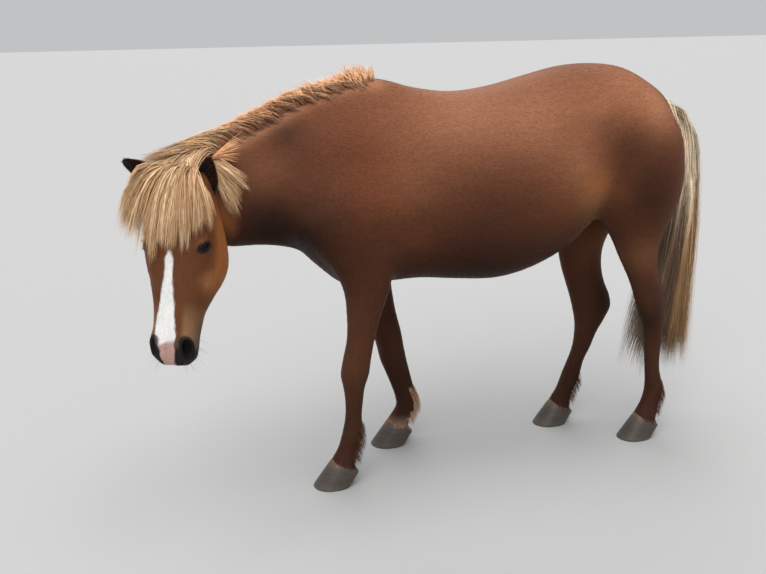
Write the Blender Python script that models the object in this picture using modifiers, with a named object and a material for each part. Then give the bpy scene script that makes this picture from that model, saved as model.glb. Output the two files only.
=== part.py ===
# Icelandic horse, a still life-size model standing with its head lowered and turned to the left.
# The horse faces -X, its left side is -Y, +Z is up and the floor is z = 0. Units are metres.
# The flesh is modelled whole from lofts, melted into one skin, and parted with thin cuts.

import math
import random

import bmesh
import bpy
import numpy as np
from mathutils import Vector
from mathutils.bvhtree import BVHTree

# Driving sizes
WITHERS_HEIGHT = 1.372
GAP = 0.0003
VOXEL = 0.006
RING_POINTS = 96
SLICES_PER_METRE = 90
BODY_TRIANGLES = 4200
HEAD_TRIANGLES = 1500
FINE_TRIANGLES = 1000
# the lofts blend into each other above this height and behind this x, over these distances
BLEND_ROUNDS = 70
BLEND_ABOVE = 0.66
BLEND_ABOVE_FADE = 0.12
BLEND_BEHIND = -0.88
BLEND_BEHIND_FADE = 0.06
EVEN_ROUNDS = 12
EVEN_SWELL = 1.02

# Trunk: x, top, bottom, half width, height of the widest line, top and bottom roundness
TRUNK = (
    (-0.700, 0.985, 0.895, 0.060, 0.930, 2.00, 2.00),
    (-0.680, 1.050, 0.860, 0.115, 0.930, 2.00, 2.00),
    (-0.635, 1.140, 0.838, 0.165, 0.930, 2.00, 2.00),
    (-0.560, 1.240, 0.764, 0.200, 0.930, 1.90, 2.10),
    (-0.460, 1.340, 0.682, 0.215, 0.940, 1.70, 2.20),
    (-0.340, WITHERS_HEIGHT, 0.680, 0.232, 0.940, 1.60, 2.20),
    (-0.200, 1.337, 0.684, 0.258, 0.940, 1.75, 2.20),
    (-0.070, 1.317, 0.670, 0.275, 0.930, 1.95, 2.20),
    (0.080, 1.330, 0.661, 0.282, 0.930, 2.05, 2.20),
    (0.220, 1.362, 0.689, 0.275, 0.950, 2.10, 2.10),
    (0.340, 1.389, 0.743, 0.258, 0.990, 2.10, 2.00),
    (0.460, 1.395, 0.850, 0.250, 1.080, 2.10, 2.00),
    (0.580, 1.378, 0.910, 0.240, 1.100, 2.00, 2.00),
    (0.670, 1.332, 0.930, 0.200, 1.100, 2.00, 2.00),
    (0.735, 1.287, 0.950, 0.150, 1.100, 2.00, 2.00),
    (0.775, 1.235, 1.000, 0.090, 1.120, 2.00, 2.00),
)

# Neck: crest point, throat point, half width
NECK = (
    ((-0.340, 0.000, 1.345), (-0.500, 0.000, 0.770), 0.190),
    ((-0.420, 0.000, 1.348), (-0.590, 0.000, 0.806), 0.180),
    ((-0.530, -0.005, 1.325), (-0.670, 0.000, 0.828), 0.155),
    ((-0.640, -0.020, 1.280), (-0.730, -0.010, 0.838), 0.126),
    ((-0.745, -0.045, 1.232), (-0.775, -0.025, 0.843), 0.106),
    ((-0.835, -0.082, 1.194), (-0.825, -0.052, 0.848), 0.096),
    ((-0.905, -0.125, 1.158), (-0.872, -0.084, 0.866), 0.088),
    ((-0.950, -0.162, 1.115), (-0.912, -0.125, 0.930), 0.070),
)

# Legs: height, front, back, middle line, half width, back and front roundness
LEFT_FORE = (
    (1.160, -0.490, -0.420, -0.120, 0.020, 2.0, 2.0),
    (1.080, -0.545, -0.370, -0.140, 0.055, 2.0, 2.0),
    (0.990, -0.595, -0.330, -0.150, 0.078, 2.0, 2.0),
    (0.900, -0.608, -0.310, -0.155, 0.086, 2.0, 2.0),
    (0.820, -0.570, -0.303, -0.155, 0.080, 2.0, 2.0),
    (0.760, -0.525, -0.315, -0.152, 0.070, 2.0, 2.0),
    (0.690, -0.492, -0.330, -0.148, 0.060, 2.0, 2.0),
    (0.600, -0.481, -0.360, -0.142, 0.050, 2.0, 2.0),
    (0.510, -0.484, -0.385, -0.140, 0.043, 2.1, 2.1),
    (0.450, -0.497, -0.398, -0.140, 0.043, 2.3, 2.3),
    (0.390, -0.506, -0.408, -0.140, 0.043, 2.2, 2.4),
    (0.350, -0.499, -0.421, -0.140, 0.037, 2.0, 2.3),
    (0.300, -0.494, -0.428, -0.140, 0.031, 1.9, 2.1),
    (0.240, -0.496, -0.434, -0.140, 0.029, 1.9, 2.1),
    (0.200, -0.503, -0.433, -0.140, 0.034, 2.0, 2.1),
    (0.165, -0.512, -0.436, -0.140, 0.036, 2.0, 2.1),
    (0.135, -0.522, -0.446, -0.140, 0.033, 2.0, 2.1),
    (0.105, -0.538, -0.455, -0.140, 0.037, 2.0, 2.1),
    (0.075, -0.554, -0.461, -0.140, 0.044, 2.0, 2.1),
    (0.025, -0.564, -0.466, -0.140, 0.046, 2.0, 2.1),
)
RIGHT_FORE = (
    (1.160, -0.490, -0.420, 0.120, 0.020, 2.0, 2.0),
    (1.080, -0.540, -0.365, 0.140, 0.055, 2.0, 2.0),
    (0.990, -0.590, -0.325, 0.150, 0.078, 2.0, 2.0),
    (0.900, -0.595, -0.300, 0.155, 0.086, 2.0, 2.0),
    (0.820, -0.545, -0.280, 0.152, 0.080, 2.0, 2.0),
    (0.760, -0.490, -0.268, 0.147, 0.070, 2.0, 2.0),
    (0.690, -0.420, -0.244, 0.140, 0.060, 2.0, 2.0),
    (0.600, -0.370, -0.235, 0.132, 0.050, 2.0, 2.0),
    (0.510, -0.335, -0.221, 0.127, 0.043, 2.1, 2.1),
    (0.450, -0.318, -0.207, 0.124, 0.043, 2.3, 2.3),
    (0.385, -0.300, -0.196, 0.122, 0.043, 2.2, 2.4),
    (0.335, -0.289, -0.186, 0.121, 0.037, 2.0, 2.3),
    (0.280, -0.268, -0.173, 0.120, 0.031, 1.9, 2.1),
    (0.225, -0.247, -0.159, 0.120, 0.030, 1.9, 2.1),
    (0.180, -0.233, -0.144, 0.120, 0.035, 2.0, 2.1),
    (0.145, -0.230, -0.144, 0.120, 0.036, 2.0, 2.1),
    (0.115, -0.248, -0.163, 0.120, 0.035, 2.0, 2.1),
    (0.085, -0.268, -0.177, 0.120, 0.042, 2.0, 2.1),
    (0.025, -0.282, -0.184, 0.120, 0.046, 2.0, 2.1),
)
LEFT_HIND = (
    (1.340, 0.520, 0.620, -0.090, 0.030, 2.0, 2.0),
    (1.260, 0.450, 0.690, -0.110, 0.090, 2.0, 2.0),
    (1.170, 0.385, 0.750, -0.122, 0.120, 2.0, 2.0),
    (1.080, 0.368, 0.772, -0.125, 0.130, 2.0, 2.0),
    (1.000, 0.382, 0.774, -0.130, 0.127, 2.0, 2.0),
    (0.930, 0.412, 0.762, -0.135, 0.118, 2.0, 2.0),
    (0.860, 0.448, 0.735, -0.140, 0.103, 2.0, 2.0),
    (0.800, 0.493, 0.705, -0.140, 0.086, 1.9, 2.1),
    (0.710, 0.540, 0.690, -0.137, 0.066, 1.8, 2.1),
    (0.640, 0.580, 0.703, -0.134, 0.055, 1.6, 2.2),
    (0.580, 0.606, 0.733, -0.131, 0.047, 1.5, 2.3),
    (0.540, 0.620, 0.743, -0.130, 0.045, 1.5, 2.4),
    (0.490, 0.637, 0.742, -0.130, 0.044, 1.6, 2.4),
    (0.440, 0.658, 0.738, -0.130, 0.040, 1.7, 2.3),
    (0.385, 0.665, 0.737, -0.130, 0.034, 1.8, 2.1),
    (0.320, 0.671, 0.734, -0.130, 0.030, 1.8, 2.1),
    (0.260, 0.677, 0.737, -0.130, 0.030, 1.9, 2.1),
    (0.215, 0.682, 0.748, -0.130, 0.035, 2.0, 2.1),
    (0.175, 0.680, 0.755, -0.130, 0.037, 2.0, 2.1),
    (0.135, 0.667, 0.744, -0.130, 0.034, 2.0, 2.1),
    (0.105, 0.652, 0.737, -0.130, 0.037, 2.0, 2.1),
    (0.075, 0.638, 0.731, -0.130, 0.043, 2.0, 2.1),
    (0.025, 0.628, 0.727, -0.130, 0.045, 2.0, 2.1),
)
RIGHT_HIND = (
    (1.340, 0.520, 0.620, 0.090, 0.030, 2.0, 2.0),
    (1.260, 0.450, 0.690, 0.110, 0.090, 2.0, 2.0),
    (1.170, 0.385, 0.750, 0.122, 0.120, 2.0, 2.0),
    (1.080, 0.362, 0.778, 0.125, 0.130, 2.0, 2.0),
    (1.000, 0.355, 0.775, 0.130, 0.127, 2.0, 2.0),
    (0.930, 0.365, 0.745, 0.130, 0.118, 2.0, 2.0),
    (0.860, 0.383, 0.710, 0.125, 0.103, 2.0, 2.0),
    (0.800, 0.400, 0.668, 0.120, 0.088, 1.9, 2.1),
    (0.700, 0.423, 0.612, 0.112, 0.068, 1.8, 2.1),
    (0.620, 0.440, 0.608, 0.107, 0.056, 1.6, 2.2),
    (0.560, 0.458, 0.622, 0.103, 0.048, 1.5, 2.3),
    (0.500, 0.477, 0.647, 0.100, 0.046, 1.5, 2.4),
    (0.455, 0.488, 0.652, 0.098, 0.045, 1.5, 2.4),
    (0.410, 0.497, 0.628, 0.097, 0.041, 1.6, 2.3),
    (0.360, 0.497, 0.594, 0.096, 0.035, 1.8, 2.1),
    (0.300, 0.489, 0.569, 0.096, 0.031, 1.8, 2.1),
    (0.250, 0.472, 0.542, 0.096, 0.031, 1.9, 2.1),
    (0.200, 0.452, 0.528, 0.096, 0.035, 2.0, 2.1),
    (0.165, 0.440, 0.518, 0.096, 0.037, 2.0, 2.1),
    (0.130, 0.424, 0.500, 0.096, 0.034, 2.0, 2.1),
    (0.100, 0.406, 0.490, 0.096, 0.038, 2.0, 2.1),
    (0.075, 0.394, 0.486, 0.096, 0.043, 2.0, 2.1),
    (0.025, 0.384, 0.482, 0.096, 0.045, 2.0, 2.1),
)

# Hooves: front and back of the coronet, middle line, half width on the ground
HOOVES = {
    "hoof_front_left": (-0.552, -0.461, -0.140, 0.058),
    "hoof_front_right": (-0.268, -0.177, 0.120, 0.058),
    "hoof_hind_left": (0.638, 0.731, -0.130, 0.055),
    "hoof_hind_right": (0.394, 0.486, 0.096, 0.055),
}
CORONET_FRONT_HEIGHT = 0.085
CORONET_BACK_HEIGHT = 0.042
HOOF_TOE_SLOPE = math.radians(54.0)
HOOF_HEEL_LEAN = 0.40
HOOF_GROUND_LENGTH = 0.124
HOOF_EDGE = 0.002
HOOF_LEVELS = (0.035, 0.070, 0.100)
HOOF_TAPER = 0.12
HOOF_POINTS = 20
HOOF_CUT_REACH = 0.4

# Dock: centre and radius down the bone of the tail
DOCK = (
    ((0.700, 0.0, 1.255), 0.036),
    ((0.788, 0.0, 1.226), 0.032),
    ((0.822, 0.0, 1.190), 0.029),
    ((0.842, 0.0, 1.130), 0.026),
    ((0.852, 0.0, 1.060), 0.022),
    ((0.856, 0.0, 0.990), 0.016),
)

# Head: it hangs below the poll, turned to the left and with the nose a little out
POLL = Vector((-0.989, -0.217, 1.118))
HEAD_TURN = math.radians(60.0)
NOSE_OUT = math.radians(20.0)
# distance down the face, face line, widest line, jaw line, half width, face and jaw roundness
HEAD = (
    (-0.033, -0.030, -0.052, -0.075, 0.038, 2.0, 2.0),
    (0.000, 0.000, -0.048, -0.105, 0.064, 2.0, 2.0),
    (0.055, 0.026, -0.045, -0.145, 0.086, 2.3, 2.0),
    (0.110, 0.040, -0.045, -0.182, 0.100, 2.6, 2.0),
    (0.160, 0.045, -0.048, -0.210, 0.109, 2.7, 2.2),
    (0.210, 0.043, -0.058, -0.228, 0.114, 2.7, 2.3),
    (0.260, 0.036, -0.074, -0.232, 0.112, 2.5, 2.3),
    (0.305, 0.030, -0.086, -0.222, 0.101, 2.4, 2.1),
    (0.345, 0.024, -0.080, -0.195, 0.088, 2.5, 1.9),
    (0.385, 0.018, -0.070, -0.162, 0.077, 2.6, 1.9),
    (0.430, 0.013, -0.060, -0.135, 0.070, 2.8, 2.0),
    (0.475, 0.009, -0.050, -0.118, 0.068, 2.9, 2.1),
    (0.510, 0.004, -0.044, -0.110, 0.069, 2.8, 2.2),
    (0.540, -0.006, -0.046, -0.102, 0.062, 2.5, 2.2),
    (0.560, -0.020, -0.052, -0.088, 0.038, 2.0, 2.0),
)
EYE_RADIUS = 0.0205
EYE_SEGMENTS = 16
EYE_RINGS = 10
EYE_PLACE = (0.213, 0.006, 0.080)
EYE_TURN_FORWARD = math.radians(28.0)
LID_THICKNESS = 0.0028
LID_OPENING_LENGTH = 0.036
LID_OPENING_HEIGHT = 0.023
LID_UPPER_SHARE = 0.56
LID_ARCH = 1.3
LID_POINTS = 20
# how much the long way of the opening leans out of the face and down it
EYE_SLANT = (0.80, 0.60)
EYE_FINE_REACH = 0.040

HEAD_MIDDLE = (0.270, -0.090, 0.0)
HEAD_REACH = 0.345
FINE_REACH = 0.042

# Swellings and hollows of the face: down, out, left, radius, height, on both sides
FACE_SWELLS = (
    (0.176, 0.022, 0.078, 0.026, 0.006),
    (0.150, -0.020, 0.086, 0.020, -0.004),
    (0.245, -0.115, 0.088, 0.055, 0.005),
    (0.285, -0.040, 0.088, 0.016, 0.004),
    (0.325, -0.044, 0.078, 0.016, 0.004),
    (0.300, -0.005, 0.070, 0.022, -0.003),
    (0.400, -0.090, 0.060, 0.030, -0.003),
    (0.505, -0.004, 0.060, 0.026, 0.009),
    (0.475, -0.012, 0.052, 0.018, 0.003),
    (0.535, -0.095, 0.020, 0.022, 0.006),
    (0.545, -0.030, 0.020, 0.020, 0.003),
)
# Nostril: its middle, half length, half width, depth and slant
NOSTRIL_PLACE = (0.507, -0.010, 0.053)
NOSTRIL_HALF_LENGTH = 0.028
NOSTRIL_HALF_WIDTH = 0.0165
NOSTRIL_DEPTH = 0.024
NOSTRIL_SLANT = math.radians(28.0)
NOSTRIL_INWARD = (-0.30, -0.45, -0.84)
NOSTRIL_STEEPNESS = 0.6
NOSTRIL_FINE_REACH = 0.045
# Line of the mouth, from its corner to the middle of the lips
MOUTH_LINE = (
    (0.452, -0.088, 0.058),
    (0.490, -0.084, 0.060),
    (0.525, -0.077, 0.050),
    (0.550, -0.070, 0.030),
    (0.560, -0.066, 0.000),
)
MOUTH_WIDTH = 0.0040
MOUTH_DEPTH = 0.0045

# Muscles and hollows of the body: x, y, z, radius, height, on both sides
BODY_SWELLS = (
    (-0.605, 0.160, 0.930, 0.050, 0.010),
    (-0.400, 0.220, 0.960, 0.085, 0.012),
    (-0.460, 0.160, 1.200, 0.070, 0.005),
    (-0.260, 0.235, 0.900, 0.050, -0.007),
    (0.405, 0.215, 1.235, 0.045, 0.010),
    (0.300, 0.245, 1.170, 0.070, -0.010),
    (0.460, 0.245, 0.930, 0.055, 0.007),
    (0.345, 0.215, 0.890, 0.045, -0.006),
    (0.650, 0.190, 1.100, 0.070, 0.006),
)

# Ears, along the head's axes: base, tip, the way the cup opens, and the bow to its side
EARS = {
    "ear_left": ((0.046, -0.068, 0.066), (-0.060, -0.024, 0.071), (0.17, 0.86, 0.36), -0.009),
    "ear_right": ((0.020, -0.052, -0.068), (-0.040, 0.000, -0.196), (0.40, 0.90, -0.05), 0.006),
}
# share of the ear's length, half width, half depth, half angle of the opening, wall's share
EAR_ROWS = (
    (0.00, 0.0170, 0.0160, 18.0, 0.88),
    (0.16, 0.0240, 0.0205, 36.0, 0.50),
    (0.34, 0.0315, 0.0235, 58.0, 0.17),
    (0.54, 0.0315, 0.0215, 70.0, 0.14),
    (0.74, 0.0235, 0.0155, 78.0, 0.16),
    (0.90, 0.0130, 0.0085, 84.0, 0.25),
    (1.00, 0.0030, 0.0030, 86.0, 0.40),
)
EAR_ARC_POINTS = 7
EAR_LEVELS = 8
EAR_BULGE = 0.010

# Hair: locks of the mane, forelock and tail
FORELOCK_SEED = 11
MANE_SEED = 42
TAIL_SEED = 32
ROOT_DEPTH = 0.012
EAR_CLEARANCE = 0.036
EYE_CLEARANCE = 0.036
HAIR_GAP = 0.0012
HAIR_LIFT = 0.009
HAIR_LAYER = 0.012
HAIR_THICKNESS = 0.0095
HAIR_SWAY = 0.004
MANE_LOCKS = 22
MANE_STEPS = 5
MANE_START = 0.06
MANE_END = 0.86
# angles around the neck: 90 is the crest, 0 the middle of its right side
MANE_ROOT_ANGLES = (74.0, 100.0)
MANE_FALL_ANGLE = 58.0
MANE_FALL_REACH = 34.0
MANE_STAND = 0.095
MANE_LEAN = 0.022
MANE_WIDTHS = (0.048, 0.058)
# share of the neck's length where the mane starts to sweep over the poll
SWEEP_START = 0.60
SWEEP_RISE = 0.060
SWEEP_WIDTH = 0.050
TUFT_LOCKS = 5
TUFT_START = 0.74
TUFT_END = 0.90
TUFT_ROOT_ANGLE = 104.0
TUFT_MIDDLE_ANGLE = 130.0
TUFT_END_ANGLE = 152.0
TUFT_WIDTHS = (0.034, 0.042)
# locks swept forward over the poll: root along the neck, then middle and end along the head's axes
POLL_SWEEP = (
    (0.66, (-0.150, -0.070, 0.050), (-0.085, -0.095, -0.070)),
    (0.72, (-0.135, -0.045, 0.030), (-0.070, -0.075, -0.110)),
    (0.78, (-0.115, -0.030, 0.000), (-0.055, -0.060, -0.150)),
    (0.83, (-0.095, -0.020, -0.010), (-0.045, -0.050, -0.170)),
    (0.88, (-0.070, -0.005, -0.020), (-0.035, -0.030, -0.150)),
    (0.92, (-0.050, 0.010, -0.010), (-0.030, 0.000, -0.130)),
)
FORELOCK_LOCKS = 18
FORELOCK_STEPS = 5
FORELOCK_WIDTHS = (0.042, 0.048)
# across the fan, right to left: end and middle of the locks as down, out, left
FORELOCK_FAN = (
    (-1.0, 0.150, -0.030, -0.168, 0.000, 0.040, -0.160),
    (-0.7, 0.195, 0.010, -0.165, 0.020, 0.070, -0.150),
    (-0.4, 0.254, 0.045, -0.120, 0.040, 0.090, -0.110),
    (-0.1, 0.268, 0.050, -0.060, 0.060, 0.095, -0.050),
    (0.3, 0.254, 0.048, 0.010, 0.060, 0.090, 0.010),
    (0.7, 0.214, 0.040, 0.068, 0.050, 0.075, 0.070),
    (1.0, 0.165, 0.010, 0.105, 0.040, 0.050, 0.100),
)
TAIL_LOCKS = 14
TAIL_STEPS = 7
TAIL_THICKNESS = 0.016
TAIL_ENDS_FRONT = 0.655
TAIL_ENDS_BACK = 0.935
TAIL_SWELL_FRONT = 0.022
TAIL_SWELL_BACK = 0.076
TAIL_HANG_X = 0.432
TAIL_HANG_HEIGHT = 0.56
TAIL_END_HEIGHTS = (0.175, 0.27)
TAIL_WIDTHS = (0.062, 0.072)
TAIL_SWAY = 0.007

# Colour and roughness of each part, by the start of its name
LOOKS = (
    ("head", ((0.170, 0.066, 0.030), 0.62)),
    ("neck", ((0.120, 0.046, 0.023), 0.60)),
    ("torso", ((0.150, 0.056, 0.028), 0.58)),
    ("leg", ((0.066, 0.027, 0.015), 0.64)),
    ("hoof", ((0.060, 0.050, 0.042), 0.45)),
    ("tail", ((0.210, 0.105, 0.050), 0.70)),
    ("ear", ((0.085, 0.034, 0.018), 0.66)),
    ("eye", ((0.010, 0.007, 0.006), 0.10)),
)

# Cuts between the parts of the body
# legs: front and back of the box, inner side, height at the inner side, rise outwards and backwards
FORE_CUT = (-0.75, -0.21, 0.010, 0.670, 1.00, -0.35)
HIND_CUT = {-1: (0.355, 0.95, 0.006, 0.860, 0.60, 0.80), 1: (0.325, 0.95, 0.006, 0.860, 0.60, 0.80)}
CUT_HINGE = 0.60
LEG_CUT_SIDE = 0.40
NECK_CUT = ((-0.300, 1.380), (-0.700, 0.840))
HEAD_CUT = ((-0.030, -0.085), (0.200, -0.222))
TAIL_CUT_X = 0.788
TAIL_CUT_BACK = 1.2
TAIL_CUT_HALF_WIDTH = 0.07
TAIL_CUT_HEIGHTS = (0.93, 1.5)


def between(keys, table, at):
    """Smooth values of the table's columns at new keys, through every row."""
    slopes = np.gradient(table, keys, axis=0)
    low = np.clip(np.searchsorted(keys, at, side="right") - 1, 0, len(keys) - 2)
    span = keys[low + 1] - keys[low]
    u = ((at - keys[low]) / span)[:, None]
    span = span[:, None]
    start = table[low] * (1 + 2 * u) * (1 - u) ** 2 + slopes[low] * span * u * (1 - u) ** 2
    end = table[low + 1] * u ** 2 * (3 - 2 * u) + slopes[low + 1] * span * u ** 2 * (u - 1)
    return start + end


def egg(count, high_roundness, low_roundness):
    """Across and along values of a closed unit outline, rounder or squarer at each end."""
    angle = np.linspace(0.0, 2 * math.pi, count, endpoint=False)
    power = 2.0 / np.where(np.sin(angle) >= 0, high_roundness, low_roundness)
    across = np.sign(np.cos(angle)) * np.abs(np.cos(angle)) ** power
    along = np.sign(np.sin(angle)) * np.abs(np.sin(angle)) ** power
    return across, along


def loft(name, rings):
    """One closed mesh through rings of points that all have the same count."""
    count = rings.shape[1]
    faces = []
    for ring in range(len(rings) - 1):
        for i in range(count):
            j = (i + 1) % count
            faces.append((ring * count + i, ring * count + j,
                          (ring + 1) * count + j, (ring + 1) * count + i))
    faces.append(tuple(range(count))[::-1])
    faces.append(tuple(range((len(rings) - 1) * count, len(rings) * count)))
    mesh = bpy.data.meshes.new(name)
    mesh.from_pydata(rings.reshape(-1, 3).tolist(), [], faces)
    shape = bmesh.new()
    shape.from_mesh(mesh)
    bmesh.ops.recalc_face_normals(shape, faces=shape.faces)
    shape.to_mesh(mesh)
    shape.free()
    return mesh


def finer(rows, key):
    """Rows of a station table, resampled evenly along their first column."""
    table = np.array(rows)
    order = np.argsort(table[:, key])
    table = table[order]
    keys = table[:, key]
    count = max(4, int((keys[-1] - keys[0]) * SLICES_PER_METRE))
    at = np.linspace(keys[0], keys[-1], count)
    return between(keys, table, at)


def trunk_mesh():
    rings = []
    for x, top, bottom, half, widest, up, down in finer(TRUNK, 0):
        across, along = egg(RING_POINTS, up, down)
        height = np.where(along >= 0, top - widest, widest - bottom)
        rings.append(np.stack([np.full(RING_POINTS, x), across * half,
                               widest + along * height], axis=1))
    return loft("trunk", np.array(rings))


def leg_mesh(rows):
    rings = []
    for z, front, back, middle, half, rear_round, front_round in finer(rows, 0):
        across, along = egg(RING_POINTS, rear_round, front_round)
        rings.append(np.stack([(front + back) / 2 + along * (back - front) / 2,
                               middle + across * half, np.full(RING_POINTS, z)], axis=1))
    return loft("leg", np.array(rings))


def neck_mesh():
    flat = np.array([[*crest, *throat, half] for crest, throat, half in NECK])
    keys = np.linspace(0.0, 1.0, len(flat))
    rows = between(keys, flat, np.linspace(0.0, 1.0, 60))
    crest = rows[:, 0:3]
    throat = rows[:, 3:6]
    middle = (crest + throat) / 2
    rise = (crest - throat) / 2
    heading = np.gradient(middle, axis=0)
    side = np.cross(heading, rise)
    side /= np.linalg.norm(side, axis=1, keepdims=True)
    across, along = egg(RING_POINTS, 1.7, 2.2)
    rings = (middle[:, None] + rise[:, None] * along[None, :, None]
             + side[:, None] * across[None, :, None] * rows[:, 6][:, None, None])
    return loft("neck", rings)


def dock_mesh():
    centres = np.array([centre for centre, _ in DOCK])
    radii = np.array([radius for _, radius in DOCK])
    heading = np.gradient(centres, axis=0)
    heading /= np.linalg.norm(heading, axis=1, keepdims=True)
    across, along = egg(RING_POINTS, 2.0, 2.0)
    rings = []
    for centre, radius, ahead in zip(centres, radii, heading):
        up = np.cross(ahead, (0.0, 1.0, 0.0))
        rings.append(centre + radius * (across[:, None] * np.array((0.0, 1.0, 0.0)) + along[:, None] * up))
    return loft("dock", np.array(rings))


def head_axes():
    """Down the face, out of the face, and the head's own left."""
    facing = Vector((-math.cos(HEAD_TURN), -math.sin(HEAD_TURN), 0.0))
    up = Vector((0.0, 0.0, 1.0))
    down_face = facing * math.sin(NOSE_OUT) - up * math.cos(NOSE_OUT)
    out_of_face = facing * math.cos(NOSE_OUT) + up * math.sin(NOSE_OUT)
    return down_face, out_of_face, out_of_face.cross(down_face)


def on_head(down, out, left):
    """World place of a point given along the head's own axes."""
    down_face, out_of_face, own_left = head_axes()
    return POLL + down_face * down + out_of_face * out + own_left * left


def head_mesh():
    down_face, out_of_face, own_left = (np.array(axis) for axis in head_axes())
    rings = []
    for down, face, widest, jaw, half, front_round, jaw_round in finer(HEAD, 0):
        across, along = egg(RING_POINTS, front_round, jaw_round)
        out = widest + along * np.where(along >= 0, face - widest, widest - jaw)
        rings.append(np.array(POLL) + down_face * down + out[:, None] * out_of_face
                     + (across * half)[:, None] * own_left)
    return loft("head", np.array(rings))


def sphere_mesh(name, centre, radius, segments, ring_count):
    mesh = bpy.data.meshes.new(name)
    shape = bmesh.new()
    bmesh.ops.create_uvsphere(shape, u_segments=segments, v_segments=ring_count, radius=radius)
    bmesh.ops.translate(shape, verts=shape.verts, vec=centre)
    shape.to_mesh(mesh)
    shape.free()
    return mesh


def eye_centre(side):
    down, out, left = EYE_PLACE
    return on_head(down, out, left * side)


def new_object(name, mesh, collection):
    thing = bpy.data.objects.new(name, mesh)
    collection.objects.link(thing)
    return thing


def evaluated_mesh(thing):
    """The mesh of an object with its modifiers applied."""
    bpy.context.view_layer.update()
    graph = bpy.context.evaluated_depsgraph_get()
    return bpy.data.meshes.new_from_object(thing.evaluated_get(graph))


def melted(meshes, voxel, collection):
    """One closed skin around all the overlapping meshes."""
    joined = bmesh.new()
    for mesh in meshes:
        joined.from_mesh(mesh)
    mesh = bpy.data.meshes.new("flesh")
    joined.to_mesh(mesh)
    joined.free()
    thing = new_object("flesh", mesh, collection)
    remesh = thing.modifiers.new("melt", "REMESH")
    remesh.mode = "VOXEL"
    remesh.voxel_size = voxel
    thing.data = evaluated_mesh(thing)
    thing.modifiers.clear()
    return thing


def points_of(mesh):
    flat = np.empty(len(mesh.vertices) * 3, dtype=np.float64)
    mesh.vertices.foreach_get("co", flat)
    return flat.reshape(-1, 3)


def normals_of(mesh):
    flat = np.empty(len(mesh.vertices) * 3, dtype=np.float32)
    mesh.vertex_normals.foreach_get("vector", flat)
    return flat.reshape(-1, 3).astype(np.float64)


def set_points(mesh, points):
    mesh.vertices.foreach_set("co", points.ravel())
    mesh.update()


def relax(mesh, rounds, strength, swell):
    """Smooths the skin; strength is one number for each point, and swell undoes shrinking."""
    points = points_of(mesh)
    edges = np.empty(len(mesh.edges) * 2, dtype=np.int64)
    mesh.edges.foreach_get("vertices", edges)
    edges = edges.reshape(-1, 2)
    count = len(points)
    degree = np.bincount(edges.ravel(), minlength=count)[:, None]
    for _ in range(rounds):
        for factor in (0.5, -0.5 * swell):
            if factor == 0:
                continue
            total = np.empty_like(points)
            for axis in range(3):
                total[:, axis] = (np.bincount(edges[:, 0], points[edges[:, 1], axis], count)
                                  + np.bincount(edges[:, 1], points[edges[:, 0], axis], count))
            points += factor * strength[:, None] * (total / degree - points)
    set_points(mesh, points)


def refine(mesh, centre, radius):
    """Splits the faces around a point in four."""
    shape = bmesh.new()
    shape.from_mesh(mesh)
    centre = Vector(centre)
    edges = [edge for edge in shape.edges
             if (edge.verts[0].co - centre).length < radius and (edge.verts[1].co - centre).length < radius]
    bmesh.ops.subdivide_edges(shape, edges=edges, cuts=1, smooth=1.0, use_grid_fill=True)
    bmesh.ops.triangulate(shape, faces=[face for face in shape.faces if len(face.verts) > 4])
    shape.to_mesh(mesh)
    shape.free()


def along_head(points):
    """Down, out and left values of world points, along the head's axes."""
    axes = np.array([list(axis) for axis in head_axes()])
    return (points - np.array(POLL)) @ axes.T


def swelling(places, centre, radius, height):
    """Height at each place of a round swelling that fades out around its centre."""
    away = places - np.array(centre)
    return height * np.exp(-np.sum(away * away, axis=1) / radius ** 2)


def shape_body(mesh):
    points = points_of(mesh)
    rise = np.zeros(len(points))
    for x, y, z, radius, height in BODY_SWELLS:
        for side in (1, -1):
            rise += swelling(points, (x, side * y, z), radius, height)
    set_points(mesh, points + normals_of(mesh) * rise[:, None])


def line_distance(places, line):
    """Distance from each place to the nearest point of a line through a few points."""
    best = np.full(len(places), np.inf)
    for start, end in zip(line[:-1], line[1:]):
        start = np.array(start)
        step = np.array(end) - start
        share = np.clip((places - start) @ step / (step @ step), 0.0, 1.0)
        away = places - start - share[:, None] * step
        best = np.minimum(best, np.linalg.norm(away, axis=1))
    return best


def shape_face(mesh):
    points = points_of(mesh)
    places = along_head(points)
    places[:, 2] = np.abs(places[:, 2])
    rise = np.zeros(len(points))
    for down, out, left, radius, height in FACE_SWELLS:
        rise += swelling(places, (down, out, left), radius, height)
    groove = line_distance(places, MOUTH_LINE)
    rise -= MOUTH_DEPTH * np.exp(-(groove / MOUTH_WIDTH) ** 2)
    set_points(mesh, points + normals_of(mesh) * rise[:, None])
    sink_nostrils(mesh)


def nostril_reach(places, side):
    """How many nostril sizes away each place is, its depth along the nostril, and the way in."""
    away = places - np.array(NOSTRIL_PLACE) * (1, 1, side)
    long_way = np.array((math.cos(NOSTRIL_SLANT), -math.sin(NOSTRIL_SLANT), 0.0))
    inward = np.array(NOSTRIL_INWARD) * (1, 1, side)
    inward /= np.linalg.norm(inward)
    short_way = np.cross(long_way, inward)
    short_way /= np.linalg.norm(short_way)
    reach = np.sqrt((away @ long_way / NOSTRIL_HALF_LENGTH) ** 2
                    + (away @ short_way / NOSTRIL_HALF_WIDTH) ** 2)
    return reach, away @ inward, inward


def sink_nostrils(mesh):
    """Pushes each nostril's skin inwards, deep in its middle and steep at its rim."""
    points = points_of(mesh)
    places = along_head(points)
    axes = np.array([list(axis) for axis in head_axes()])
    for side in (1, -1):
        reach, along, inward = nostril_reach(places, side)
        depth = np.clip(1.0 - reach, 0.0, 1.0) ** NOSTRIL_STEEPNESS * NOSTRIL_DEPTH
        depth[np.abs(along) > NOSTRIL_DEPTH] = 0.0
        points += (depth[:, None] * inward) @ axes
    set_points(mesh, points)


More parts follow.
